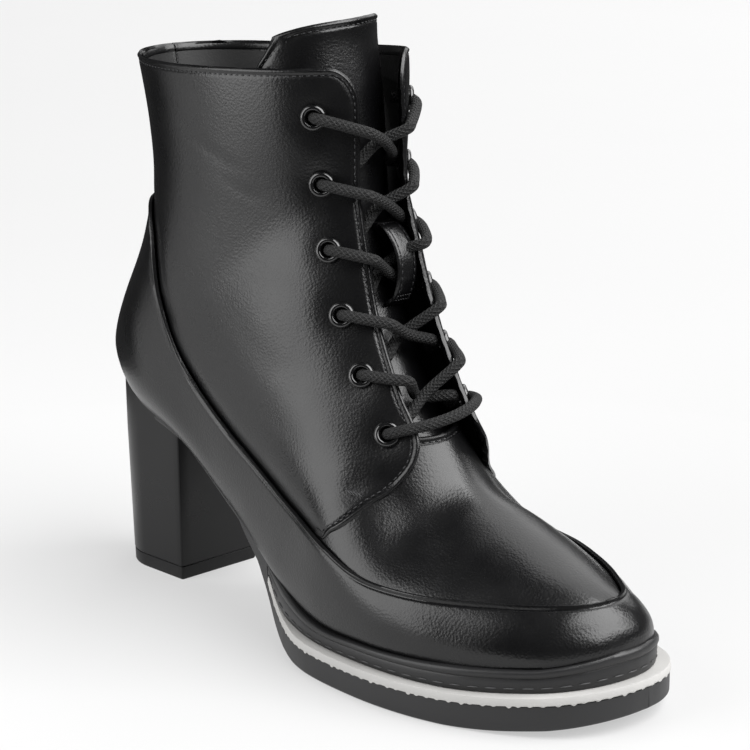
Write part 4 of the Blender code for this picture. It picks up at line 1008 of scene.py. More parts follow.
stitches = bmesh.new()
groove = -GROOVE_DEPTH + STITCH_SINK
for side in (-1, 1):
    levels, shares = front_edge_stitches()
    sew(levels, side * shares, flap_lift(last_points(levels, side * shares)) + groove)
    levels, shares = collar_stitches()
    sew(levels, side * shares, groove)
shares = np.linspace(-VAMP_STITCH_SHARE, VAMP_STITCH_SHARE, LOOP_POINTS)
sew(VAMP_LEVEL - STITCH_INSET / UPPER_FRONT.length, shares, VAMP_RISE + groove)
route, normals = tongue_points(np.full(TONGUE_POINTS, 1 - STITCH_INSET / TONGUE_LENGTH),
                               np.linspace(-TONGUE_STITCH_END, TONGUE_STITCH_END, TONGUE_POINTS))
stitch_row(stitches, route + normals * groove, normals)
for aside in (LOOP_EDGE_STITCH, 1 - LOOP_EDGE_STITCH):
    along = np.linspace(LOOP_EDGE_FROM, LOOP_EDGE_TO, LOOP_POINTS)
    stitch_row(stitches, *strap_route(np.full(LOOP_POINTS, aside), along))
for over in LOOP_END_STITCHES:
    across = np.linspace(LOOP_END_FROM, LOOP_END_TO, LOOP_END_POINTS)
    stitch_row(stitches, *strap_route(across, np.full(LOOP_END_POINTS, over)),
               LOOP_END_PITCH, LOOP_END_LENGTH)
for side in (-1, 1):
    for across in BAR_TACK_ASIDE:
        levels, shares = bar_tack_stitches(across)
        sew(levels, side * shares, BAR_TACK_RISE, pitch=BAR_TACK_PITCH, length=BAR_TACK_LENGTH)
put_in_place(stitches, "stitches", thread)

# Eyelets: six a side, brass tube rolled over the leather and finished in gloss black lacquer, which
# mirrors the lights in small sharp glints.
# Section of a ring: distance from its axis, and height over the leather.
EYELET_PROFILE = ((2.3, -2.4), (2.3, 0.6), (2.45, 1.05), (2.8, 1.35), (3.25, 1.4), (3.7, 1.2),
                  (4.0, 0.8), (4.1, 0.35), (3.9, 0.1), (2.9, 0.1), (2.9, -2.4))
EYELET_STEPS = 40
EYELET_BLACK, EYELET_ROUGHNESS = "#0A0A0B", 0.16
EYELET_COAT, EYELET_COAT_ROUGHNESS, WEAR_MM = 0.6, 0.06, 2.0
EYELET_SEAT, EYELET_MERGE = -0.15, 0.01
eyelet_enamel, eyelet_tree, eyelet_shader = new_material("gloss_black_eyelet_lacquer")
eyelet_shader.inputs["Coat Weight"].default_value = EYELET_COAT
eyelet_shader.inputs["Coat Roughness"].default_value = EYELET_COAT_ROUGHNESS
eyelet_place = add_node(eyelet_tree, "ShaderNodeTexCoord", {}, {})
wear = add_node(eyelet_tree, "ShaderNodeTexNoise", {},
                {"Vector": eyelet_place.outputs["Object"], "Scale": 1000 / WEAR_MM})
eyelet_gloss = add_node(eyelet_tree, "ShaderNodeMapRange", {},
                        {"Value": wear.outputs["Fac"],
                         "To Min": EYELET_ROUGHNESS - 0.05, "To Max": EYELET_ROUGHNESS + 0.1})
eyelet_tree.links.new(eyelet_gloss.outputs["Result"], eyelet_shader.inputs["Roughness"])
eyelet_shader.inputs["Base Color"].default_value = linear(EYELET_BLACK)

for side, side_name in ((-1, "outer"), (1, "inner")):
    rings = bmesh.new()
    for half, z in EYELETS[side]:
        spot, normal = quarter_point(side * half, z, EYELET_SEAT)
        ring = bmesh.new()
        verts = [ring.verts.new((r * MILLIMETRE, 0, h * MILLIMETRE)) for r, h in EYELET_PROFILE]
        edges = [ring.edges.new(pair) for pair in zip(verts, verts[1:] + verts[:1])]
        bmesh.ops.spin(ring, geom=verts + edges, axis=(0, 0, 1), cent=(0, 0, 0), angle=2 * math.pi,
                       steps=EYELET_STEPS, use_merge=True)
        bmesh.ops.remove_doubles(ring, verts=ring.verts[:], dist=EYELET_MERGE * MILLIMETRE)
        bmesh.ops.recalc_face_normals(ring, faces=ring.faces[:])
        turn = Vector((0, 0, 1)).rotation_difference(Vector(normal)).to_matrix().to_4x4()
        place = Matrix.Translation(Vector(metres(spot))) @ turn
        bmesh.ops.transform(ring, matrix=place, verts=ring.verts[:])
        held = bpy.data.meshes.new("eyelet_ring")
        ring.to_mesh(held)
        ring.free()
        rings.from_mesh(held)
        bpy.data.meshes.remove(held)
    put_in_place(rings, f"eyelets_{side_name}", eyelet_enamel,
                 [f"eyelet_{side_name}_{row + 1}" for row in range(EYELET_ROWS)])

# Lace: one round braided polyester lace, 3.6 mm thick. It lies straight across the lowest eyelets
# and crosses up the throat, over each edge and into the next eyelet; its ends are tucked inside.
# The braid gives it a fine rope-like rib. Its colour is painted lighter on the strands and darker between
# them, a painted highlight and painted shade.
LACE_RADIUS = 1.8
LACE_BLACK, LACE_HIGHLIGHT_GREY, LACE_ROUGHNESS = "#010101", "#141415", 0.7
LACE_OVER, LACE_UNDER, LACE_EDGE_LIFT = 2.2, -4.7, 0.35
# Rises of the lace as it goes in through an eyelet; how far it dips before that, and between which
# distances from the eyelet; how far under the far flap a run starts, and its rise up to the edge.
LACE_INSIDE = (-0.4, -3.4, -6.0)
DIP, DIP_FROM, DIP_TO = 1.2, 4.2, 1.0
START_IN, START_RISE = 4.0, 0.7
BAR_STOPS = (0.0, 6.0, 11.0)
# Crossings from the top down: depth at the middle, where a run climbs, how high it is there on the
# outer and on the inner side, and which side's run passes in front.
CROSSINGS = ((3.0, 6.8, 2.3, 2.3, -1), (3.0, 6.8, 2.3, 2.3, -1), (6.9, 7.6, 0.8, -4.0, -1),
             (3.0, 6.8, 2.4, 2.4, -1), (3.0, 6.8, 2.3, 2.3, 1))
CROSSING_APART, LACE_FALL = 1.8, 1.2
LACE_SIDES, LACE_STEP, LACE_SMOOTHING, KNOT_SAMPLES = 18, 0.55, 3, 40
CLOSE_MERGE = 0.02
BRAID_PITCH, BRAID_STRANDS = 1.7, 8.0


def lace_run(row, side):
    """Spots of a run from under one throat edge, across, over the other edge and into an eyelet."""
    (end_half, end_z), (start_half, start_z) = EYELETS[side][row], EYELETS[-side][row + 1]
    depth, climb_at, climb_outer, climb_inner, front_side = CROSSINGS[row]
    climb = climb_outer if side < 0 else climb_inner
    apart = CROSSING_APART if side == front_side else -CROSSING_APART
    edge_lift, eyelet_lift = (lift_at(side * y, end_z) for y in (THROAT_HALF_GAP, end_half))
    far_lift = lift_at(-side * THROAT_HALF_GAP, (end_z + start_z) / 2)
    under = LACE_UNDER + far_lift + CROSSINGS[0][0] - depth
    stops = ((-THROAT_HALF_GAP - START_IN, under), (-THROAT_HALF_GAP, under + START_RISE),
             (0.0, apart - depth), (climb_at, climb + edge_lift),
             (THROAT_HALF_GAP, LACE_OVER + LACE_EDGE_LIFT + edge_lift),
             (end_half - DIP_FROM, LACE_OVER + eyelet_lift),
             (end_half - DIP_TO, LACE_OVER - DIP + eyelet_lift))
    run = []
    for y, rise in stops:
        fall = (end_half - y) / (end_half + start_half)
        run.append(front_point(side * y, end_z - (end_z - start_z) * fall ** LACE_FALL, rise)[0])
    return run + through_eyelet(row, side)


def through_eyelet(row, side):
    """Spots down through an eyelet."""
    half, z = EYELETS[side][row]
    return [quarter_point(side * half, z, rise)[0] for rise in LACE_INSIDE]


def half_lace(start_side):
    """Spots from the middle of the lowest bar up to the hidden end at a top eyelet."""
    half, z = EYELETS[start_side][-1]
    middle_z = (z + EYELETS[-start_side][-1][1]) / 2
    stops = [(y, LACE_OVER) for y in BAR_STOPS + (half - DIP_FROM,)] + [(half - DIP_TO, LACE_OVER - DIP)]
    spots = [quarter_point(start_side * y, middle_z + (z - middle_z) * y / half, rise)[0]
             for y, rise in stops]
    spots += through_eyelet(EYELET_ROWS - 1, start_side)
    side = -start_side
    for row in range(EYELET_ROWS - 2, -1, -1):
        spots += lace_run(row, side)
        side = -side
    return spots


def smooth_route(knots):
    """Evenly spaced spots of a smooth line through the knots."""
    route = catmull_rom(knots, np.linspace(0, len(knots) - 1, KNOT_SAMPLES * len(knots)))
    running = path_length(route)
    route = read_rows(np.linspace(0, running[-1], int(running[-1] / LACE_STEP)), running, route)
    for _ in range(LACE_SMOOTHING):
        route[1:-1] = (route[:-2] + 2 * route[1:-1] + route[2:]) / 4
    return route


def number_at(share, steps):
    """Number of a grid's row or column at a share of the way."""
    return np.rint(share * steps).astype(int)


def place_cord(route, radius):
    """Puts a grid round a route as a tube; the frame turns with the route without twisting."""
    runs = unit(np.gradient(route, axis=0))
    aside = np.cross(runs[0], (0.0, 0.0, 1.0))
    asides = []
    for run in runs:
        aside = unit(aside - run * (aside @ run))
        asides.append(aside)
    asides = np.array(asides)
    ups = np.cross(runs, asides)

    def place(u, v):
        at = number_at(v, len(route) - 1)
        angle = -2 * np.pi * u[:, None]
        return route[at] + radius * (asides[at] * np.cos(angle) + ups[at] * np.sin(angle))

    return place


def close_band(mesh):
    """Joins a tube's or band's first and last row, and closes its two ends."""
    bmesh.ops.remove_doubles(mesh, verts=mesh.verts[:], dist=CLOSE_MERGE * MILLIMETRE)
    bmesh.ops.holes_fill(mesh, edges=[edge for edge in mesh.edges if edge.is_boundary], sides=0)
    bmesh.ops.recalc_face_normals(mesh, faces=mesh.faces[:])


lace_cord, lace_tree, lace_shader = new_material("braided_black_polyester")
lace_uv = add_node(lace_tree, "ShaderNodeUVMap", {"uv_map": "UVMap"}, {})
lace_route = smooth_route(half_lace(-1)[::-1] + half_lace(1)[1:])
lace_length = path_length(lace_route)[-1]
braids = []
for lean in (1, -1):
    turned = add_node(lace_tree, "ShaderNodeMapping", {},
                      {"Vector": lace_uv.outputs["UV"],
                       "Scale": (BRAID_STRANDS * lean, lace_length / BRAID_PITCH, 1.0)})
    split = add_node(lace_tree, "ShaderNodeSeparateXYZ", {}, {"Vector": turned.outputs["Vector"]})
    total = add_node(lace_tree, "ShaderNodeMath", {"operation": "ADD"},
                     {0: split.outputs["X"], 1: split.outputs["Y"]})
    braids.append(add_node(lace_tree, "ShaderNodeMath", {"operation": "PINGPONG"},
                           {0: total.outputs["Value"], 1: 0.5}))
strands = add_node(lace_tree, "ShaderNodeMath", {"operation": "MAXIMUM"},
                   {0: braids[0].outputs["Value"], 1: braids[1].outputs["Value"]})
ribs = add_node(lace_tree, "ShaderNodeMapRange", {},
                {"Value": strands.outputs["Value"], "From Min": 0.2, "From Max": 0.5})
lace_bump = add_node(lace_tree, "ShaderNodeBump", {},
                     {"Strength": 1.0, "Distance": 0.35 * MILLIMETRE, "Height": ribs.outputs["Result"]})
lace_tree.links.new(lace_bump.outputs["Normal"], lace_shader.inputs["Normal"])
# Painted highlight on the braid's strands and painted shade between them, following the rib relief.
lace_shade = add_node(lace_tree, "ShaderNodeMix", {"data_type": "RGBA"},
                      {"Factor": ribs.outputs["Result"], "A": linear(LACE_BLACK), "B": linear(LACE_HIGHLIGHT_GREY)})
lace_tree.links.new(lace_shade.outputs["Result"], lace_shader.inputs["Base Color"])
lace_shader.inputs["Roughness"].default_value = LACE_ROUGHNESS
lace = laid_grid(LACE_SIDES, len(lace_route) - 1, place_cord(lace_route, LACE_RADIUS))
close_band(lace)
put_in_place(lace, "lace", lace_cord,
             [f"lace_cross_{row + 1}" for row in range(EYELET_ROWS - 1)] + ["lace_bar"])

# Rand: a moulded black rubber band under the upper, with a rounded lip along its top edge and a
# line of moulded stitches, cemented to the strip below.
# Columns of the sole's table: station, undersides of the tread and of the strip, and how far the
# strip's and the rand's edges stand out of the feather line.
SOLE_COLUMNS = ("x", "tread_z", "strip_z", "ledge", "rand_out")
SOLE = (
    (239.0, 5.6, 12.6, 5.7, 1.5),
    (225.0, 2.8, 10.6, 5.7, 1.5),
    (210.0, 0.9, 9.0, 5.7, 2.0),
    (194.0, 0.0, 8.0, 5.7, 2.6),
    (165.0, 0.0, 7.6, 5.7, 2.6),
    (138.0, 0.0, 7.6, 5.4, 2.6),
    (128.0, 0.0, 7.8, 4.6, 2.4),
    (118.0, 0.8, 8.6, 2.8, 2.0),
    (111.0, 4.2, 11.4, 1.4, 1.2),
    (103.0, 13.4, 18.6, 0.4, 0.4),
    (96.0, 21.6, 24.6, 0.0, 0.0),
    (82.0, 32.6, 34.0, -0.4, 0.0),
    (50.0, 52.3, 53.2, -0.8, 0.0),
    (6.0, 60.7, 61.6, -0.8, 0.0),
)
STRIP_THICKNESS, STRIP_END_X = 2.5, 104.0
SEAT_CLEARANCE, RAND_CLEARANCE = 0.85, 0.2
WAIST_FRONT_X, WAIST_FRONT_EASE, WAIST_BACK_X, WAIST_BACK_EASE = 112.0, 30.0, 60.0, 20.0
RAND_BLACK, RAND_ROUGHNESS = "#161617", 0.42
RAND_STATIONS, FINE_STATIONS = 150, 800
# Section of the rand: how far out of its line, and how far up between the strip and the upper.
RAND_PROFILE = ((-6.0, 0.0), (-0.5, 0.0), (-0.1, 0.05), (0.1, 0.25), (0.2, 0.5), (0.2, 0.68), (0.0, 0.76),
                (0.35, 0.82), (0.65, 0.92), (0.6, 1.06), (0.2, 1.16), (-0.6, 1.2), (-2.0, 1.16), (-6.0, 1.0))


def sole_value(name, x):
    """A column of the sole table at stations x."""
    rows = sorted(SOLE)
    place = np.interp(x, [row[0] for row in rows], np.arange(len(rows)))
    return catmull_rom(rows, place)[..., SOLE_COLUMNS.index(name)]


def place_at_x(x):
    """Row number of the last whose feather point is at a station."""
    return float(np.interp(-x, -FEATHER_VALUES["bottom_x"], FEATHER_PLACES))


def front_places(count):
    """Row numbers from the toe's tip to the end of the strip, evenly spaced round the outline."""
    fine = np.linspace(0, place_at_x(STRIP_END_X), FINE_STATIONS)
    values = section_at(fine)
    running = path_length(np.column_stack((values["bottom_x"], values["bottom_half"])))
    return np.interp(np.linspace(0, running[-1], count + 1), running, fine)


def beside_feather(places, side):
    """Points of the feather line in plan, and the directions straight out from it."""
    values = section_at(places)
    line = np.column_stack((values["bottom_x"], values["centre_y"] + side * values["bottom_half"]))
    run = np.gradient(line, axis=0)
    if places[0] == 0:
        run[0] = (0, side)
    if places[-1] == HEEL_SEAT:
        run[-1] = (0, -side)
    x = line[:, 0]
    slant = np.maximum(np.clip((x - WAIST_FRONT_X) / WAIST_FRONT_EASE, 0, 1),
                       np.clip((WAIST_BACK_X - x) / WAIST_BACK_EASE, 0, 1))
    across = side * np.column_stack((run[:, 1] * slant, -run[:, 0]))
    return line, unit(across)


def round_the_toe(places):
    """Feather points and outward directions from the outer side, round the toe, to the inner side."""
    outer_line, outer_out = beside_feather(places, -1)
    inner_line, inner_out = beside_feather(places, 1)
    return np.concatenate((outer_line[:0:-1], inner_line)), np.concatenate((outer_out[:0:-1], inner_out))


RUBBER_CLOUD_MM, RUBBER_DUST = 22.222, 1.35


def rubber_finish(name, code, roughness, speck_mm, depth, shine=0.5):
    """Moulded rubber: dull black with the fine matt tooth of the mould and slightly uneven gloss."""
    made, tree, shader = new_material(name)
    where = add_node(tree, "ShaderNodeTexCoord", {}, {}).outputs["Object"]
    tooth = add_node(tree, "ShaderNodeTexNoise", {},
                     {"Vector": where, "Scale": 1000 / speck_mm, "Detail": 4.0})
    bump = add_node(tree, "ShaderNodeBump", {},
                    {"Strength": depth, "Distance": 0.15 * MILLIMETRE, "Height": tooth.outputs["Fac"]})
    tree.links.new(bump.outputs["Normal"], shader.inputs["Normal"])
    dusty = [min(1.0, v * RUBBER_DUST) for v in linear(code)[:3]] + [1.0]
    cloud_over(tree, shader, where, RUBBER_CLOUD_MM, 4.0, (roughness - 0.05, roughness + 0.07),
               (linear(code), dusty))
    shader.inputs["Specular IOR Level"].default_value = shine
    return made


rand_rubber = rubber_finish("moulded_black_rand_rubber", RAND_BLACK, RAND_ROUGHNESS,
                            speck_mm=0.6, depth=0.25)
rand_line, rand_out = round_the_toe(front_places(RAND_STATIONS))


def place_rand(u, v):
    at = number_at(u, len(rand_line) - 1)
    row = number_at(v, len(RAND_PROFILE)) % len(RAND_PROFILE)
    move, up = np.array(RAND_PROFILE)[row].T
    out = sole_value("rand_out", rand_line[at, 0]) + move
    plan = rand_line[at] + rand_out[at] * out[:, None]
    low = sole_value("strip_z", plan[:, 0]) + STRIP_THICKNESS + RAND_CLEARANCE
    high = feather_height(plan[:, 0]) - SEAT_CLEARANCE
    return np.column_stack((plan, low + (high - low) * up))


rand = laid_grid(len(rand_line) - 1, len(RAND_PROFILE), place_rand)
close_band(rand)
put_in_place(rand, "rand", rand_rubber, ["midsole"])

# Moulded stitches of the rand: a raised row of long dashes, cast with it in the same rubber. They are
# coloured greyer than the band, a painted highlight on their raised tops.
RAND_STITCH_PITCH, RAND_STITCH_LENGTH, RAND_STITCH_UP, RAND_STITCH_OUT = 5.6, 4.2, 0.3, 0.2
RAND_STITCH_HIGHLIGHT_GREY, RAND_STITCH_ROUGHNESS = "#3C3C3D", 0.5
rand_edge = sole_value("rand_out", rand_line[:, 0]) + RAND_STITCH_OUT
rand_plan = rand_line + rand_out * rand_edge[:, None]
rand_low = sole_value("strip_z", rand_plan[:, 0]) + STRIP_THICKNESS
rand_high = feather_height(rand_plan[:, 0]) - SEAT_CLEARANCE
rand_route = np.column_stack((rand_plan, rand_low + (rand_high - rand_low) * RAND_STITCH_UP))
rand_facing = np.column_stack((rand_out, np.zeros(len(rand_out))))
# The dashes' grey colour is a painted highlight.
highlit_stitch_rubber = rubber_finish("rand_stitch_painted_highlight_rubber", RAND_STITCH_HIGHLIGHT_GREY, RAND_STITCH_ROUGHNESS,
                               speck_mm=0.6, depth=0.25)
moulded = bmesh.new()
stitch_row(moulded, rand_route, rand_facing, RAND_STITCH_PITCH, RAND_STITCH_LENGTH)
put_in_place(moulded, "rand_moulded_stitches", highlit_stitch_rubber)

# Strip: an off-white rubber welt strip, 2.5 mm thick, laid on the outsole round the forefoot. Small
# teeth along its lower edge lap over the outsole's side.
STRIP_WIDTH, STRIP_LIFT = 10.0, 0.15
STRIP_CREAM, STRIP_ROUGHNESS = "#A6A5A3", 0.6
TOOTH_PITCH, TOOTH_WIDTH, TOOTH_DROP, TOOTH_STEEP = 3.4, 1.7, 0.6, 1.6
TOOTH_SHORT, TOOTH_WANDER, TOOTH_BEATS = 0.6, 0.2, (2.1, 0.7)
STRIP_STATIONS = 900
# Section of the strip: how far out of the outsole's edge, how far up, and how much of a tooth's drop.
STRIP_PROFILE = ((-STRIP_WIDTH, 0.0, 0.0), (-0.6, 0.0, 0.0), (0.1, 0.0, 1.0), (0.3, 0.06, 1.0),
                 (0.3, 0.2, 0.4), (0.15, 0.7, 0.0), (-0.1, 0.95, 0.0), (-0.5, 1.0, 0.0),
                 (-STRIP_WIDTH, 1.0, 0.0))
strip_line, strip_out = round_the_toe(front_places(STRIP_STATIONS))
strip_running = path_length(strip_line)


def place_strip(u, v):
    at = number_at(u, len(strip_line) - 1)
    row = number_at(v, len(STRIP_PROFILE)) % len(STRIP_PROFILE)
    move, up, drop = np.array(STRIP_PROFILE)[row].T
    number = np.floor(strip_running[at] / TOOTH_PITCH)
    uneven = np.sin(TOOTH_BEATS[0] * number) * np.sin(TOOTH_BEATS[1] * number + 1.0)
    offset = strip_running[at] - (number + 0.5 + TOOTH_WANDER * uneven) * TOOTH_PITCH
    tooth = np.clip(TOOTH_STEEP * (TOOTH_WIDTH / 2 - np.abs(offset)), 0, 1)
    tooth = tooth * (TOOTH_SHORT + (1 - TOOTH_SHORT) * uneven)
    out = sole_value("ledge", strip_line[at, 0]) + move
    plan = strip_line[at] + strip_out[at] * out[:, None]
    low = sole_value("strip_z", plan[:, 0]) + STRIP_LIFT
    return np.column_stack((plan, low + STRIP_THICKNESS * up - TOOTH_DROP * drop * tooth))


strip_rubber = rubber_finish("off_white_strip_rubber", STRIP_CREAM, STRIP_ROUGHNESS, speck_mm=0.5, depth=0.3)
strip = laid_grid(len(strip_line) - 1, len(STRIP_PROFILE), place_strip)
close_band(strip)
put_in_place(strip, "welt_strip", strip_rubber, ["welt"])

# Outsole: a moulded black rubber tread layer, thick under the forefoot and thinning up the arch to
# the heel seat, with shallow bars across the forefoot for grip.
OUTSOLE_BLACK, OUTSOLE_ROUGHNESS = "#1B1B1C", 0.5
OUTSOLE_ROUND = 1.2
OUTSOLE_FRONT, OUTSOLE_ARCH, OUTSOLE_ACROSS = 240, 120, 48
BAR_PITCH, BAR_DEPTH, BAR_MARGIN, BAR_FROM_X, BAR_TO_X = 6.0, 0.8, 7.0, 136.0, 212.0
BAR_END_SLOPE, BAR_FADE, BAR_STEEP, BAR_NARROW = 1.5, 2.0, 4.0, 1.5
ROUND_STEPS = 5
arch_places = np.linspace(place_at_x(STRIP_END_X), HEEL_SEAT, OUTSOLE_ARCH + 1)[1:]
sole_places = np.concatenate((front_places(OUTSOLE_FRONT), arch_places))
outer_line, outer_out = beside_feather(sole_places, -1)
inner_line, inner_out = beside_feather(sole_places, 1)
sole_ledge = sole_value("ledge", outer_line[:, 0])
# Steps round a section: across the bottom, then up each side over a rounded edge to the top.
SOLE_LOOP = OUTSOLE_ACROSS + 2 * ROUND_STEPS + 2
turns = np.linspace(0, math.pi / 2, ROUND_STEPS)


def place_outsole(u, v):
    at = number_at(v, len(sole_places) - 1)
    step = number_at(u, SOLE_LOOP) % SOLE_LOOP
    ledge = sole_ledge[at]
    edges = [line[at] + out[at] * (ledge - OUTSOLE_ROUND)[:, None]
             for line, out in ((outer_line, outer_out), (inner_line, inner_out))]
    outs = (outer_out[at], inner_out[at])
    across = np.clip(step / (OUTSOLE_ACROSS - 1), 0, 1)
    plan = edges[0] * (1 - across)[:, None] + edges[1] * across[:, None]
    x = plan[:, 0]
    tread = np.maximum(sole_value("tread_z", x), 0.0)
    top = np.where(x > STRIP_END_X, sole_value("strip_z", x), feather_height(x) - SEAT_CLEARANCE)
    width = np.linalg.norm(edges[1] - edges[0], axis=1)
    margin = np.minimum(across, 1 - across) * width
    inside = np.clip((margin - BAR_MARGIN) / BAR_END_SLOPE, 0, 1)
    inside = inside * np.clip(np.minimum(x - BAR_FROM_X, BAR_TO_X - x) / BAR_FADE, 0, 1)
    bar = np.clip(BAR_STEEP * np.cos(2 * np.pi * x / BAR_PITCH) - BAR_NARROW, 0, 1)
    z = tread + BAR_DEPTH * inside * bar
    for side, first in ((1, OUTSOLE_ACROSS), (0, OUTSOLE_ACROSS + ROUND_STEPS + 2)):
        part = step - first
        on_round = (part >= 0) & (part < ROUND_STEPS)
        turn = turns[np.clip(part if side else ROUND_STEPS - 1 - part, 0, ROUND_STEPS - 1)]
        rounded = edges[side] + outs[side] * (OUTSOLE_ROUND * np.sin(turn))[:, None]
        plan = np.where(on_round[:, None], rounded, plan)
        z = np.where(on_round, tread + OUTSOLE_ROUND * (1 - np.cos(turn)), z)
        on_top = part == (ROUND_STEPS if side else -1)
        plan = np.where(on_top[:, None], edges[side] + outs[side] * OUTSOLE_ROUND, plan)
        z = np.where(on_top, top, z)
    return np.column_stack((plan, z))


outsole_rubber = rubber_finish("moulded_black_outsole_rubber", OUTSOLE_BLACK, OUTSOLE_ROUGHNESS,
                               speck_mm=0.5, depth=0.25)
outsole = laid_grid(SOLE_LOOP, len(sole_places) - 1, place_outsole)
close_band(outsole)
put_in_place(outsole, "outsole_tread", outsole_rubber, ["outsole"])

# Heel: a tall D-shaped block, moulded and lacquered satin black, pinned up through the heel seat;
# a rubber top piece of the same outline is nailed on below.
HEEL_BACK_BOTTOM, HEEL_BACK_TOP = 6.0, 4.4
HEEL_BREAST_BOTTOM, HEEL_BREAST_TOP = 43.6, 45.2
HEEL_HALF_BOTTOM, HEEL_HALF_TOP = 17.2, 19.4
HEEL_CORNER, HEEL_EDGE, HEEL_SINK = 0.7, 0.5, 0.9
RIM_CLOSE, RIM_WIDTH = 0.2, 2.2
TOP_PIECE_HEIGHT, TOP_PIECE_GAP, TOP_PIECE_IN = 4.6, 0.35, 0.12
HEEL_BLACK, HEEL_ROUGHNESS, TOP_PIECE_ROUGHNESS, HEEL_SHINE = "#0A0A0B", 0.3, 0.5, 0.3
HEEL_ROUND_STEPS, HEEL_SIDE_STEPS, HEEL_CORNER_STEPS = 60, 10, 5
HEEL_SHARP = 35.0


def heel_outline(share, inset):
    """D-shaped plan of the heel at a share of its height."""
    back = HEEL_BACK_BOTTOM + (HEEL_BACK_TOP - HEEL_BACK_BOTTOM) * share + inset
    breast = HEEL_BREAST_BOTTOM + (HEEL_BREAST_TOP - HEEL_BREAST_BOTTOM) * share - inset
    half = HEEL_HALF_BOTTOM + (HEEL_HALF_TOP - HEEL_HALF_BOTTOM) * share - inset
    straight = back + half
    corner_x, corner_y = breast - HEEL_CORNER, half - HEEL_CORNER
    points = [(straight - half * math.sin(a), -half * math.cos(a))
              for a in np.linspace(0, math.pi, HEEL_ROUND_STEPS)]
    corner_turns = np.linspace(0, math.pi / 2, HEEL_CORNER_STEPS)
    sides = np.linspace(straight, corner_x, HEEL_SIDE_STEPS)[1:-1]
    points += [(x, half) for x in sides]
    points += [(corner_x + HEEL_CORNER * math.sin(a), corner_y + HEEL_CORNER * math.cos(a))
               for a in corner_turns]
    points += [(breast, y) for y in np.linspace(corner_y, -corner_y, HEEL_SIDE_STEPS)[1:-1]]
    points += [(corner_x + HEEL_CORNER * math.cos(a), -corner_y - HEEL_CORNER * math.sin(a))
               for a in corner_turns]
    points += [(x, -half) for x in sides[::-1]]
    return np.array(points)


HEEL_AROUND = len(heel_outline(0.0, 0.0))
HEEL_TOP_Z = 58.0


def heel_seat(x):
    """Height of the heel block's top, a little inside the outsole's thin end."""
    return np.maximum(sole_value("tread_z", np.maximum(x, HEEL_SEAT_X)), 0.0) + HEEL_SINK


def place_heel(rows):
    """Rings from (height, inset) rows; those at the top follow the counter's edge and the heel seat."""

    def place(u, v):
        at = number_at(u, HEEL_AROUND) % HEEL_AROUND
        row = number_at(v, len(rows) - 1)
        spots = np.zeros((len(u), 3))
        for k, (z, inset) in enumerate(rows):
            plan = heel_outline(z / HEEL_TOP_Z, inset)[at]
            height = np.full(len(u), z)
            if z == HEEL_TOP_Z:
                rim = 0.0 if k == len(rows) - 1 else 1 + RIM_CLOSE
                height = heel_seat(plan[:, 0]) + rim * heel_edge(plan[:, 0])
            spots = np.where((row == k)[:, None], np.column_stack((plan, height)), spots)
        return spots

    return place


# The lacquer is smooth and gives soft, dim reflections; the top piece is duller.
heel_lacquer = rubber_finish("satin_black_heel_lacquer", HEEL_BLACK, HEEL_ROUGHNESS,
                             speck_mm=0.8, depth=0.06, shine=HEEL_SHINE)
top_piece_rubber = rubber_finish("black_top_piece_rubber", HEEL_BLACK, TOP_PIECE_ROUGHNESS,
                                 speck_mm=0.5, depth=0.25, shine=HEEL_SHINE)
BLOCK_LOW = TOP_PIECE_HEIGHT + TOP_PIECE_GAP
# Rings of the block and of the top piece from below: height, and how far in from the outline.
HEEL_ROWS = ((BLOCK_LOW, 0.8), (BLOCK_LOW, 0.25), (BLOCK_LOW + 0.25, 0.0), (20.0, 0.0), (35.0, 0.0),
             (50.0, 0.0), (HEEL_TOP_Z, 0.0), (HEEL_TOP_Z, RIM_WIDTH), (HEEL_TOP_Z, RIM_WIDTH + 0.3))
TOP_PIECE_ROWS = ((0.0, HEEL_EDGE), (0.15, 0.3), (HEEL_EDGE, TOP_PIECE_IN), (TOP_PIECE_HEIGHT, TOP_PIECE_IN),
                  (BLOCK_LOW, 0.5))
for name, rows, finish in (("heel_block", HEEL_ROWS, heel_lacquer),
                           ("heel_top_piece", TOP_PIECE_ROWS, top_piece_rubber)):
    block = laid_grid(HEEL_AROUND, len(rows) - 1, place_heel(rows))
    close_band(block)
    put_in_place(block, name, finish, ["heel"], sharp_angle=HEEL_SHARP)

# Stage: a pale paper floor with a painted glow, stronger behind the boot so that it fades to white there,
# three soft boxes, a dark room in the reflections, and the camera of the photograph.
FLOOR_HALF = 8.0
FLOOR_PALE, FLOOR_PALER, FLOOR_ROUGHNESS, FLOOR_SHINE, PAPER_CLOUD_MM = "#8A8A8A", "#8D8D8D", 0.8, 0.1, 333.3
GLOW_FRONT, GLOW_BACK, GLOW_FROM, GLOW_TO = 0.495, 0.645, -0.2, 2.3
WORLD_STRENGTH = 0.06
WHITE = "#FFFFFF"
CAMERA_AZIMUTH, CAMERA_ELEVATION, CAMERA_DISTANCE = 45.735, 14.576, 0.72


def stage_piece(mesh, name, finish):
    """A piece of the set, which isn't part of the boot."""
    piece = made_piece(mesh, name, finish)
    return piece


def toward(azimuth, elevation):
    """Direction of a point seen at an azimuth and elevation in degrees."""
    a, e = math.radians(azimuth), math.radians(elevation)
    return Vector((math.sin(a) * math.cos(e), -math.cos(a) * math.cos(e), math.sin(e)))


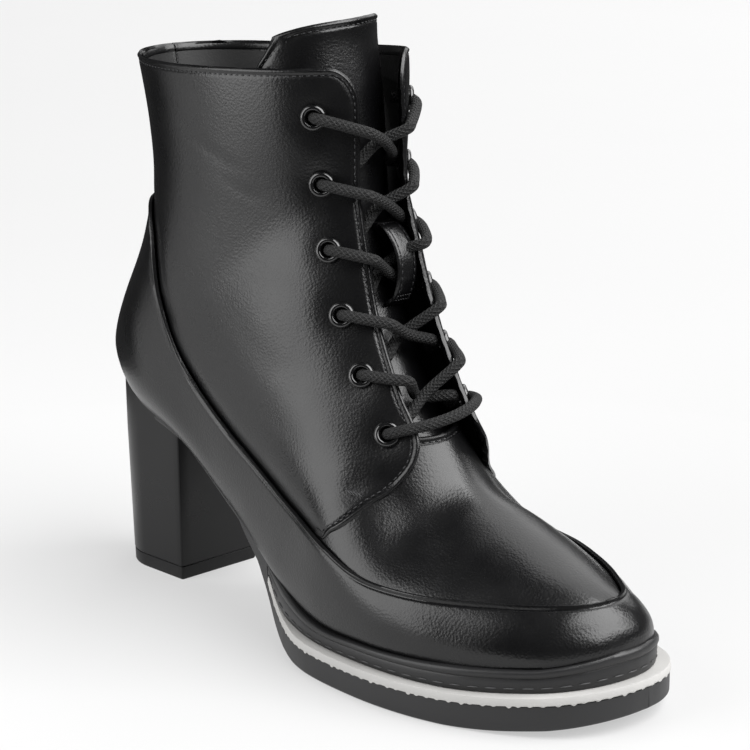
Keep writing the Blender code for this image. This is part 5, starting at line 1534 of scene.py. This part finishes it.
paper, paper_tree, paper_shader = new_material("pale_paper_floor")
paper_place = add_node(paper_tree, "ShaderNodeTexCoord", {}, {})
fibre = add_node(paper_tree, "ShaderNodeTexNoise", {},
                 {"Vector": paper_place.outputs["Object"], "Scale": 1000 / PAPER_CLOUD_MM})
paper_shade = add_node(paper_tree, "ShaderNodeMix", {"data_type": "RGBA"},
                       {"Factor": fibre.outputs["Fac"], "A": linear(FLOOR_PALE), "B": linear(FLOOR_PALER)})
paper_tree.links.new(paper_shade.outputs["Result"], paper_shader.inputs["Base Color"])
paper_shader.inputs["Roughness"].default_value = FLOOR_ROUGHNESS
paper_shader.inputs["Specular IOR Level"].default_value = FLOOR_SHINE
# The floor's emission is a painted glow, weaker in front of the boot and stronger behind it.
paper_shader.inputs["Emission Color"].default_value = linear(WHITE)
away = add_node(paper_tree, "ShaderNodeVectorMath", {"operation": "DOT_PRODUCT"},
                {0: paper_place.outputs["Object"], 1: -toward(CAMERA_AZIMUTH, 0.0)})
glow = add_node(paper_tree, "ShaderNodeMapRange", {},
                {"Value": away.outputs["Value"], "From Min": GLOW_FROM, "From Max": GLOW_TO,
                 "To Min": GLOW_FRONT, "To Max": GLOW_BACK})
paper_tree.links.new(glow.outputs["Result"], paper_shader.inputs["Emission Strength"])
floor_mesh = bmesh.new()
bmesh.ops.create_grid(floor_mesh, x_segments=1, y_segments=1, size=FLOOR_HALF)
stage_piece(floor_mesh, "floor", paper)

world = bpy.data.worlds.new("studio")
world.use_nodes = True
world.node_tree.nodes["Background"].inputs["Color"].default_value = linear(WHITE)
world.node_tree.nodes["Background"].inputs["Strength"].default_value = WORLD_STRENGTH
bpy.context.scene.world = world
bpy.context.scene.view_settings.view_transform = "Standard"

TARGET = Vector(metres(np.array((122.703, 0.0, 86.069))))
# Soft boxes: azimuth and height of the middle in degrees, distance, width and height in metres, and
# brightness beside the white floor's.
SOFT_BOXES = (
    ("left_box", -21.0, 24.0, 0.62, 0.5, 0.68, 3.6),
    ("right_box", 113.0, 47.0, 4.0, 4.3, 4.2, 6.8),
    ("back_box", -165.0, 42.0, 4.0, 2.9, 4.2, 1.7),
)


def stand(name, data, azimuth, elevation, distance):
    """Puts a light or the camera round the boot, turned to its middle."""
    thing = bpy.data.objects.new(name, data)
    bpy.context.scene.collection.objects.link(thing)
    thing.location = TARGET + toward(azimuth, elevation) * distance
    thing.rotation_euler = (-toward(azimuth, elevation)).to_track_quat("-Z", "Y").to_euler()
    return thing


for name, azimuth, elevation, distance, width, height, brightness in SOFT_BOXES:
    light = bpy.data.lights.new(name, "AREA")
    light.shape = "RECTANGLE"
    light.size = width
    light.size_y = height
    light.energy = brightness * math.pi * width * height
    stand(name, light, azimuth, elevation, distance).visible_camera = False

# Black cloth round the table: it stands for the dark room in reflections alone, so that the floor
# stays pale. It is open towards the left box.
CLOTH_INNER, CLOTH_OUTER, CLOTH_LIFT, CLOTH_STEPS = 0.3, 7.0, 0.001, 48
CLOTH_FROM, CLOTH_TO = 2.0, 294.0
CLOTH_BLACK, CLOTH_ROUGHNESS = "#0A0A0A", 1.0
cloth_mesh = bmesh.new()
ends = [cloth_mesh.verts.new(toward(CLOTH_FROM, 0.0) * radius + Vector((0, 0, CLOTH_LIFT)))
        for radius in (CLOTH_INNER, CLOTH_OUTER)]
bmesh.ops.spin(cloth_mesh, geom=ends + [cloth_mesh.edges.new(ends)], axis=(0, 0, 1), cent=(0, 0, 0),
               angle=math.radians(CLOTH_TO - CLOTH_FROM), steps=CLOTH_STEPS)
bmesh.ops.recalc_face_normals(cloth_mesh, faces=cloth_mesh.faces[:])
cloth, _, cloth_shader = new_material("black_velvet_cloth")
cloth_shader.inputs["Base Color"].default_value = linear(CLOTH_BLACK)
cloth_shader.inputs["Roughness"].default_value = CLOTH_ROUGHNESS
cloth_ring = stage_piece(cloth_mesh, "black_cloth", cloth)
cloth_ring.visible_camera = False
cloth_ring.visible_diffuse = False
cloth_ring.visible_shadow = False

SENSOR_WIDTH, FOCAL_PIXELS, IMAGE_PIXELS = 36.0, 2235.65, 750
camera_data = bpy.data.cameras.new("camera")
camera_data.sensor_width = SENSOR_WIDTH
camera_data.lens = FOCAL_PIXELS / IMAGE_PIXELS * SENSOR_WIDTH
bpy.context.scene.camera = stand("camera", camera_data, CAMERA_AZIMUTH, CAMERA_ELEVATION, CAMERA_DISTANCE)
